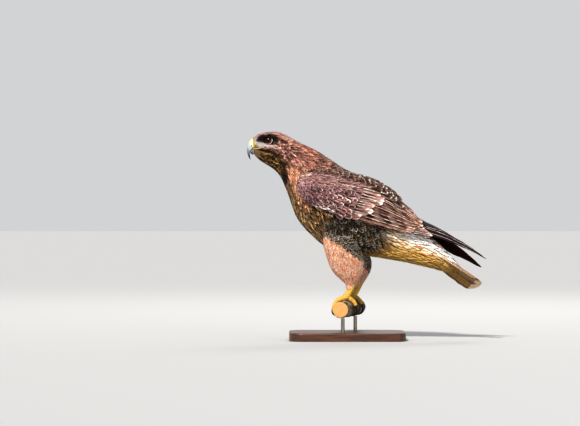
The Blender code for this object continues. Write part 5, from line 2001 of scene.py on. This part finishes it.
@dataclass
class Tail:
    """Twelve tail feathers in a closed fan, rufous above and pale below."""

    pairs: int = 6

    def feathers(self) -> bpy.types.Object:
        """Makes the tail feathers."""
        draw = np.random.default_rng(21)
        aft = np.array((math.cos(TAIL.slope), 0.0, -math.sin(TAIL.slope)))
        up = np.array((math.sin(TAIL.slope), 0.0, math.cos(TAIL.slope)))
        lift = up * math.cos(TAIL.roll) - np.array((0.0, math.sin(TAIL.roll), 0.0))
        vanes = []
        for side in (-1, 1):
            beside = np.array((0.0, side * math.cos(TAIL.roll), 0.0)) + up * side * math.sin(TAIL.roll)
            for k in range(self.pairs):
                fan, length = math.radians(1.0 + 0.75 * k), TAIL.length - 0.385 * k * k

                def place(
                    along: Array, across: Array, back: Array, k: int = k, fan: float = fan,
                    length: float = length, beside: Array = beside, side: int = side,
                ) -> Array:
                    """Points by share along, millimetres across and depth."""
                    run = 80.0 + (length - 80.0) * along
                    outward = run * math.sin(fan) + across * side
                    outward = np.maximum(outward, 0.4 - 0.1 * (k == 0) * side)
                    height = -TAIL.arch * outward**2 - TAIL.stack * k - back + 3.0
                    point = TAIL.root + aft * run[..., None] + beside * outward[..., None]
                    return point + lift * height[..., None]

                steps = (0.0, 0.3, 0.6, 0.84, 0.95, 0.985, 1.0)
                widths = (0.46, 0.8, 0.97, 1.0, 0.85, 0.6, 0.2)
                vanes.append(LongVane(place, 17.5, steps, widths, 0.5))
        plumes = Plumes("tail_feathers")
        style = Style(len(vanes))
        style.paint(ground=tone(176, 92, 52), edge=np.where(np.arange(len(vanes)) // 3 == 1, 0.95, 0.30))
        long_feathers(plumes, vanes, style, draw, rows=22, columns=6)
        return plumes.build()


@dataclass(frozen=True)
class TailFinish:
    """Rufous above with a narrow dark band and a buff tip, pale buff below with thin dark lines and painted
    golden light.
    """

    name: str = "feather_tail"

    def make(self) -> bpy.types.Material:
        """Builds the material."""
        made = Shading(self.name, 0.7, Specular_IOR_Level=0.2, Sheen_Weight=0.1)
        along, across = made.uv("Vane")
        side = (across * 2.0 - 1.0).size()
        lined = made.parts("plan")[0]
        ragged = made.noise(240.0, 2.0) - 0.5
        barb = (along * 160.0 - side * 16.0).sine()
        normal = made.node("NewGeometry", {}, {}).outputs["Normal"]
        local = made.node("VectorMath", {"operation": "DOT_PRODUCT"}, {0: normal, 1: (0.52, -0.28, 0.81)})
        below = made.band(local.outputs["Value"], 0.15, -0.15)
        end = along + ragged * 0.02
        top = made.over(
            tone(192, 108, 74), (ragged * 0.4 + 0.4, tone(154, 74, 46)),
            (made.band(side, 0.78, 0.86) * lined, tone(44, 26, 20)),
            (made.band(side, 0.90, 0.96) * lined, tone(244, 216, 194)),
            (made.band(end, 0.905, 0.915) * made.band(end, 0.945, 0.935), tone(34, 22, 18)),
        )
        bars = ((along * 15.0 + side * 0.3) * TURN + ragged).sine()
        lines = (side * 22.0 + made.noise(60.0, 2.0) * 3.0).sine()
        # Below: buff with dark lines; its golden yellow is partly painted reflected light.
        under = made.over(
            tone(194, 156, 84), (ragged + 0.5, tone(142, 102, 44)),
            (made.band(bars, 0.3, 0.9) * 0.16, tone(96, 66, 34)),
            (made.band(lines, 0.3, 0.8) * 0.7, tone(74, 50, 24)),
            (made.band(side, 0.58, 0.80) * 0.9, tone(44, 28, 18)),
            (made.band(side, 0.86, 0.92) * 0.5, tone(226, 200, 160)),
        )
        colour = made.over(
            top, (below, under), (made.band(end, 0.96, 0.975), tone(236, 208, 178)),
            (made.band(side, 0.08, 0.03) * 0.7, tone(52, 32, 22)),
        )
        return made.finish(colour, barb, 0.0002)


@dataclass
class Face:
    """The bill, the cere, the eyes with their lids and brows, and the gape."""

    def bill_part(
        self, name: str, table: Table, first: float, last: float, rows: int, columns: int, swell: float = 0.0
    ) -> bpy.types.Object:
        """A length of the bill between two rows of its table.

        Args:
            name: The piece's name.
            table: The bill's table.
            first: The first row.
            last: The last row.
            rows: Faces along it.
            columns: Faces round it.
            swell: How much larger than the table it is, up to its front edge.

        Returns:
            The piece.
        """

        def surface(along: Array, around: Array) -> Array:
            """Round over the ridge and flatter along the cutting edges."""
            row = rows_at(table, first + (last - first) * along)
            top, low = in_plane(row[:, 0], row[:, 1]), in_plane(row[:, 2], row[:, 3])
            turn = (around + 0.5) * TURN
            cos, sin = np.cos(turn), np.sin(turn)
            more = 1 + swell * smooth(1.0, 0.90, along)
            rise = np.where(cos > 0, 0.30 + 0.70 * cos * more, 0.30 + 0.30 * cos)
            width = np.sign(sin) * np.abs(sin) ** 0.8 * row[:, 4] * more
            return low + (top - low) * rise[:, None] - width[:, None] * (0.0, 1.0, 0.0)

        return shaped_grid(name, rows, columns, surface)

    def cere(self) -> bpy.types.Object:
        """The cere with its nostrils sunk into it."""
        cere = self.bill_part("cere_wax", BILL.upper, 0.0, BILL.cere_end, 40, 64, BILL.cere_swell)
        for vertex in cere.data.vertices:
            point = np.array(vertex.co) / MM - (0.0, 0.0, PERCH.top)
            for side in (-1, 1):
                away = float(np.linalg.norm((point - sided(BILL.nostril, side)) / (2.0, 4.0, 1.6)))
                vertex.co.y += side * 0.5 * math.exp(-(((away - 1.1) / 0.5) ** 2)) * MM
        cere.data.update()
        return cere

    def nostril(self, side: int) -> bpy.types.Object:
        """The opening in the cere: a flat near-black ball in its side, painted shade inside it."""
        centre, radii = sided(BILL.nostril, side), sided(BILL.nostril_radii, side)
        return ball("nostril_" + side_name(side), centre, radii, 12, 20, (0, 2, 1))

    def flange(self) -> bpy.types.Object:
        """The cere's soft rear edge, which bulges back over the lores."""

        def surface(along: Array, around: Array) -> Array:
            """A collar on the head that sinks under the feathers."""
            angle = around * TURN
            station = along * (feather_line(angle) + 0.25)
            swell = 0.5 * np.exp(-(((along - 0.3) / 0.2) ** 2)) * (feather_line(angle) - 0.1)
            chin = 2.0 * smooth(98, 116, from_top(angle))
            points = trunk(station, angle, swell - chin - 0.3 - 1.3 * smooth(0.4, 1.0, along))
            return points - np.array((0.9, 0.0, 0.0)) * smooth(0.15, 0.0, along)[:, None]

        return shaped_grid("cere_edge", 12, 96, surface)

    def eye(self, side: int) -> bpy.types.Object:
        """An eyeball with a bulging cornea, with polar coordinates round its axis in a map."""
        axis = eye_axis(side)
        across = unit(np.cross(axis, (0.0, 0.0, 1.0)))
        up = np.cross(across, axis)
        centre = sided(EYE.centre, side)

        def surface(along: Array, around: Array) -> Array:
            """A ball with its pole at the pupil."""
            polar, turn = along * math.pi * 0.999 + 0.001, around * TURN
            radius = EYE.radius + 0.35 * np.exp(-((polar / 0.55) ** 2))
            out = axis * np.cos(polar)[:, None] + (
                across * np.cos(turn)[:, None] + up * np.sin(turn)[:, None]
            ) * np.sin(polar)[:, None]
            return centre + out * radius[:, None]

        eye = shaped_grid(f"eye_{side_name(side)}_ball", 48, 48, surface)
        eye.data.uv_layers["Along"].name = "Iris"
        for loop in eye.data.uv_layers["Iris"].uv:
            loop.vector = (loop.vector[0] * math.pi, loop.vector[1])
        return eye

    def lid(self, side: int) -> bpy.types.Object:
        """Both lids as a ring round the eye, the upper one heavier."""
        axis = eye_axis(side)
        across = unit(np.cross(axis, (0.0, 0.0, 1.0))) * -side
        up = np.cross(across, axis) * -side
        middle = sided(EYE.centre, side) + axis * EYE.lid_out

        def surface(along: Array, around: Array) -> Array:
            """A ring whose upper half is thicker and flatter."""
            turn, tube = along * TURN, around * TURN
            high = smooth(-0.2, 0.8, np.sin(turn))
            out = across * np.cos(turn)[:, None] + up * (np.sin(turn) * (0.93 - 0.13 * high))[:, None]
            thick = 0.95 + 0.35 * high
            radius = EYE.lid_radius - 0.1 + thick * np.cos(tube) * 1.25
            return middle + out * radius[:, None] + axis * (thick * np.sin(tube) + 0.4 * high + 0.4)[:, None]

        return shaped_grid("lids_" + side_name(side), 64, 16, surface)

    def brow(self, side: int) -> bpy.types.Object:
        """The ridge of horny skin that overhangs the eye from the lore back."""

        def radius(along: Array, around: Array) -> Array:
            """A lens that is thickest over the eye."""
            ripple = 1 + 0.08 * np.sin(along * 70.0) * np.cos(around * 4 * math.pi)
            return (0.2 + 0.95 * np.sin(along * math.pi) ** 0.8) * ripple

        return sweep("brow_" + side_name(side), sided(FACE.brow, side), radius, 30, 14)

    def gape(self, side: int, name: str, drop: float) -> bpy.types.Object:
        """A line of the mouth's soft edge, from the cere to below the eye.

        Args:
            side: The side of the head.
            name: The line's name.
            drop: How far below the mouth's upper edge it runs.

        Returns:
            The piece.
        """
        stations = np.linspace(FACE.gape_stations[0], FACE.gape_stations[-1], 8)
        line = np.interp(stations, FACE.gape_stations, FACE.gape_heights) - drop
        turns = np.linspace(0.9, 2.6, 240)
        path = []
        for s, z in zip(stations, line):
            ring = trunk(np.full(240, s), turns, np.full(240, -0.12 - 0.8 * smooth(2.3, 2.9, s)))
            path.append(ring[np.argmin(np.abs(ring[:, 2] - z))])
        path = np.array(path) * (1.0, -1.0, 1.0)

        def radius(along: Array, around: Array) -> Array:
            """Thin and thinner towards the corner."""
            return FACE.gape_radius * (1.0 - 0.6 * along**2) * (1 + 0.05 * np.sin(along * 55.0))

        return sweep(f"{name}_{side_name(side)}", sided(path, side), radius, 40, 10)


@dataclass
class Perch:
    """The cut length of branch."""

    def branch(self) -> bpy.types.Object:
        """A knotty branch whose bark stays within the plain one."""
        along_axis = np.array((math.sin(PERCH.turn), math.cos(PERCH.turn), 0.0))
        across = np.cross(along_axis, (0.0, 0.0, 1.0))
        centre = np.array((PERCH.x, 0.0, -PERCH.radius))

        def surface(along: Array, around: Array) -> Array:
            """A bark tube with sunk cut ends."""
            cap = np.maximum(0.0, np.abs(along - 0.5) - 0.44) / 0.06
            place = np.clip((along - 0.5) / 0.44 * 0.5, -0.5, 0.5) * PERCH.length
            turn = around * TURN
            lump = np.array([
                noise.noise(Vector((p / 22.0, 1.6 * math.cos(t), 1.6 * math.sin(t)))) * 0.9
                + noise.noise(Vector((p / 5.0, 5.0 * math.cos(t), 5.0 * math.sin(t)))) * 0.45
                for p, t in zip(place, turn)
            ])
            radius = PERCH.radius - PERCH.bark_sink + np.minimum(lump, PERCH.bark_sink)
            radius = radius * (1 - cap * 0.999)
            radius = np.where(np.abs(along - 0.5) > 0.437, radius - 0.5, radius)
            out = np.cos(turn)[:, None] * np.array((0.0, 0.0, 1.0)) + np.sin(turn)[:, None] * across
            return centre + along_axis * place[:, None] + out * np.maximum(radius, 0.02)[:, None]

        branch = shaped_grid("branch", 160, 72, surface)
        middle = world(centre)
        for face in branch.data.polygons:
            is_cut = abs(face.normal.dot(Vector(along_axis))) > 0.8
            for place in face.loop_indices:
                corner = np.array(branch.data.vertices[branch.data.loops[place].vertex_index].co) - middle
                away = np.linalg.norm(corner - along_axis * (corner @ along_axis)) / (PERCH.radius * MM)
                branch.data.uv_layers["Along"].uv[place].vector = (away, 1.0 if is_cut else 0.0)
        return branch


@dataclass
class Studio:
    """The floor, the soft lights and the camera at the photograph's framing."""

    view_width: float = 1.102
    middle: tuple[float, float] = (-0.1083, 0.2413)
    distance: float = 5.0
    sun_strength: float = 3.9
    sun_blur: float = math.radians(6.0)
    sun_colour: Colour = (1.0, 0.97, 0.92)
    sun_aim: Point = (0.9, 2.1, -2.0)
    sky_colour: Colour = (0.97, 0.98, 1.0)
    sky_strength: float = 0.50

    def floor(self) -> None:
        """The plain floor."""
        shape = bmesh.new()
        bmesh.ops.create_grid(shape, x_segments=1, y_segments=1, size=30.0)
        floor = solid("floor", shape)
        floor.data.materials.append(FloorFinish().make())

    def light(self, name: str, place: Sequence[float], size: float, power: float, colour: Colour) -> None:
        """A soft square light that looks at the bird."""
        lamp = bpy.data.lights.new(name, "AREA")
        lamp.size, lamp.energy, lamp.color = size, power, colour
        obj = placed(name, lamp)
        obj.location = place
        obj.rotation_euler = (Vector((0.0, 0.0, 0.22)) - obj.location).to_track_quat("-Z", "Y").to_euler()

    def lights(self) -> None:
        """A broad key from high on the camera's left, a fill, a rim and a pale world."""
        sun = bpy.data.lights.new("key", "SUN")
        sun.energy, sun.angle, sun.color = self.sun_strength, self.sun_blur, self.sun_colour
        key = placed("key", sun)
        key.rotation_euler = Vector(self.sun_aim).to_track_quat("-Z", "Y").to_euler()
        self.light("fill", (1.8, -2.4, 0.7), 1.6, 8.0, (0.95, 0.98, 1.0))
        self.light("rim", (0.5, 1.9, 2.1), 1.0, 18.0, (1.0, 0.98, 0.94))
        sky = bpy.data.worlds.new("studio")
        sky.use_nodes = True
        back = sky.node_tree.nodes["Background"]
        back.inputs[0].default_value = (*self.sky_colour, 1.0)
        back.inputs[1].default_value = self.sky_strength
        bpy.context.scene.view_settings.view_transform = "Standard"
        bpy.context.scene.view_settings.look = "High Contrast"
        bpy.context.scene.world = sky

    def camera(self) -> None:
        """A long lens level with the bird's middle."""
        data = bpy.data.cameras.new("camera")
        data.sensor_width = 36.0
        data.lens = data.sensor_width * self.distance / self.view_width
        camera = placed("camera", data)
        camera.location = (self.middle[0], -self.distance, self.middle[1])
        camera.rotation_euler = (math.pi / 2, 0.0, 0.0)
        bpy.context.scene.camera = camera


def paint_skin(skin: bpy.types.Object, plumage: Plumage) -> None:
    """Gives the skin the markings of the coat over it, from each point's place on the body."""
    stations, turns = np.meshgrid(np.linspace(0.0, BODY.end, 145), np.linspace(0.0, TURN, 73))
    stations, turns = stations.ravel(), turns.ravel()
    net = world(trunk(stations, turns, np.zeros(len(stations))))
    degrees = from_top(turns)
    style = plumage.body(stations, degrees, np.random.default_rng(5))
    colours = style.ground * 0.6 + style.shade * 0.4
    # Towards black round each eye's hollow: dark bare skin, deepened with painted shade in the hollow.
    local = net / MM - (0.0, 0.0, PERCH.top)
    near = np.minimum(*(np.linalg.norm(local - sided(FACE.socket, side), axis=1) for side in (1, -1)))
    colours = colours * (0.12 + 0.88 * smooth(10.0, 14.0, near))[:, None]
    tree = KDTree(len(net))
    for number, point in enumerate(net):
        tree.insert(point, number)
    tree.balance()
    layer = skin.data.attributes.new("ground", "FLOAT_COLOR", "POINT")
    nearest = [tree.find(v.co) for v in skin.data.vertices]
    found, away = np.array([hit[1] for hit in nearest]), np.array([hit[2] for hit in nearest])
    on_wing = smooth(4.4, 6.0, away / MM)[:, None]
    mixed = colours[found] * (1 - on_wing) + np.array(tone(46, 30, 30)) * on_wing
    full = np.concatenate((mixed, on_wing * 0 + 1), 1)
    layer.data.foreach_set("color", full.astype(np.float32).ravel())


def build_bird() -> None:
    """Builds the bird."""
    plumage = Plumage()
    body = Trunk(plumage)
    legs, wings = [Leg(side, plumage) for side in (-1, 1)], [Wing(side, plumage) for side in (-1, 1)]
    skin = join(body.skin(), [leg.skin() for leg in legs] + [one.skin() for one in wings])
    paint_skin(skin, plumage)
    covered = ("head", "neck", "torso", "tail", "thigh_left", "thigh_right", "wing_left", "wing_right")
    dress(skin, SkinFinish().make(), "feather_brown", *covered)
    brown = FeatherFinish("feather_brown").make()
    breast = FeatherFinish("feather_breast", shaft=0.2).make()
    rufous = FeatherFinish("feather_rufous", shaft=0.1).make()
    for name, first, last, finish, slot in (
        ("coat_head", 0.12, BODY.head_end, brown, "feather_brown"),
        ("coat_neck", BODY.head_end, 10.5, brown, "feather_brown"),
        ("coat_body", 10.5, 17.0, breast, "feather_breast"),
        ("coat_tail_root", 17.0, 22.9, breast, "feather_breast"),
    ):
        dress(body.coat(name, first, last), finish, slot)
    dress(Tail().feathers(), TailFinish().make(), "feather_tail")
    for one in wings:
        for build in (one.flight, one.coverts, one.small_coverts, one.scapulars):
            dress(build(), brown, "feather_brown")
    leg_skin = ScaleFinish("leg_skin", tone(226, 188, 92), tone(158, 116, 46)).make()
    horn_black = BillFinish("claw", tone(40, 38, 40), tone(26, 25, 27), tone(14, 14, 15)).make()
    for leg in legs:
        dress(leg.trousers(), rufous, "feather_rufous")
        dress(leg.shank(), leg_skin, "leg_skin", "tarsus_" + leg.name)
        dress(leg.pad(), leg_skin, "leg_skin", "foot_" + leg.name)
        for toe in FOOT.toes:
            dress(leg.toe(toe), leg_skin, "leg_skin", "foot_" + leg.name)
            dress(leg.claw(toe), horn_black, "claw", f"claw_{leg.name}_{toe.name}")


def build_face() -> None:
    """Builds the bill, eyes, lids, brows and gape."""
    face = Face()
    cere = BillFinish("cere", tone(206, 192, 132), tone(196, 190, 150), tone(164, 172, 176), 0.4).make()
    horn = BillFinish("horn", tone(164, 172, 176), tone(104, 116, 134), tone(10, 11, 14)).make()
    lids = LidFinish().make()
    brow = BareFinish("brow_skin", tone(30, 20, 18), tone(8, 5, 5), 0.85).make()
    gape = BareFinish("gape_skin", tone(238, 210, 124), tone(214, 168, 80)).make()
    # Near black for the nostrils and the mouth's line: painted shade inside the openings.
    dark = BareFinish("mouth_dark", tone(20, 15, 14), tone(10, 8, 8)).make()
    wet = EyeFinish().make()
    dress(face.cere(), cere, "cere", "cere")
    dress(face.flange(), BareFinish("cere_soft", tone(176, 160, 110), tone(140, 124, 82)).make(), "cere")
    upper = face.bill_part("bill_upper", BILL.upper, BILL.cere_end - 0.12, 8.0, 90, 56)
    dress(upper, horn, "horn", "upper_bill")
    low_horn = BillFinish("horn_low", tone(146, 152, 158), tone(74, 80, 88), tone(16, 17, 20)).make()
    dress(face.bill_part("bill_lower", BILL.lower, 0.0, 3.0, 40, 48), low_horn, "horn", "lower_bill")
    for side in (-1, 1):
        dress(face.eye(side), wet, "eye", "eye_" + side_name(side))
        dress(face.lid(side), lids, "feather_brown")
        dress(face.brow(side), brow, "feather_brown")
        dress(face.gape(side, "gape", 0.0), gape, "cere")
        dress(face.gape(side, "mouth_line", 1.3), dark, "horn")
        dress(face.nostril(side), dark, "cere")


def build_stand() -> None:
    """Builds the branch and gives the stand its finishes."""
    dress(Perch().branch(), BarkFinish().make(), "bark", "perch")
    finishes = {"stand_base": WoodFinish().make(), "stand_rod_left": MetalFinish().make()}
    finishes["stand_rod_right"] = finishes["stand_rod_left"]
    for node, material in finishes.items():
        frame["nodes"][node].material_slots[0].material = material


def main() -> None:
    """Builds every piece, the studio and the camera."""
    logging.basicConfig(level=logging.INFO, format="%(name)s %(message)s")
    studio = Studio()
    studio.camera()
    studio.floor()
    studio.lights()
    build_bird()
    build_face()
    build_stand()


if __name__ == "__main__":
    main()
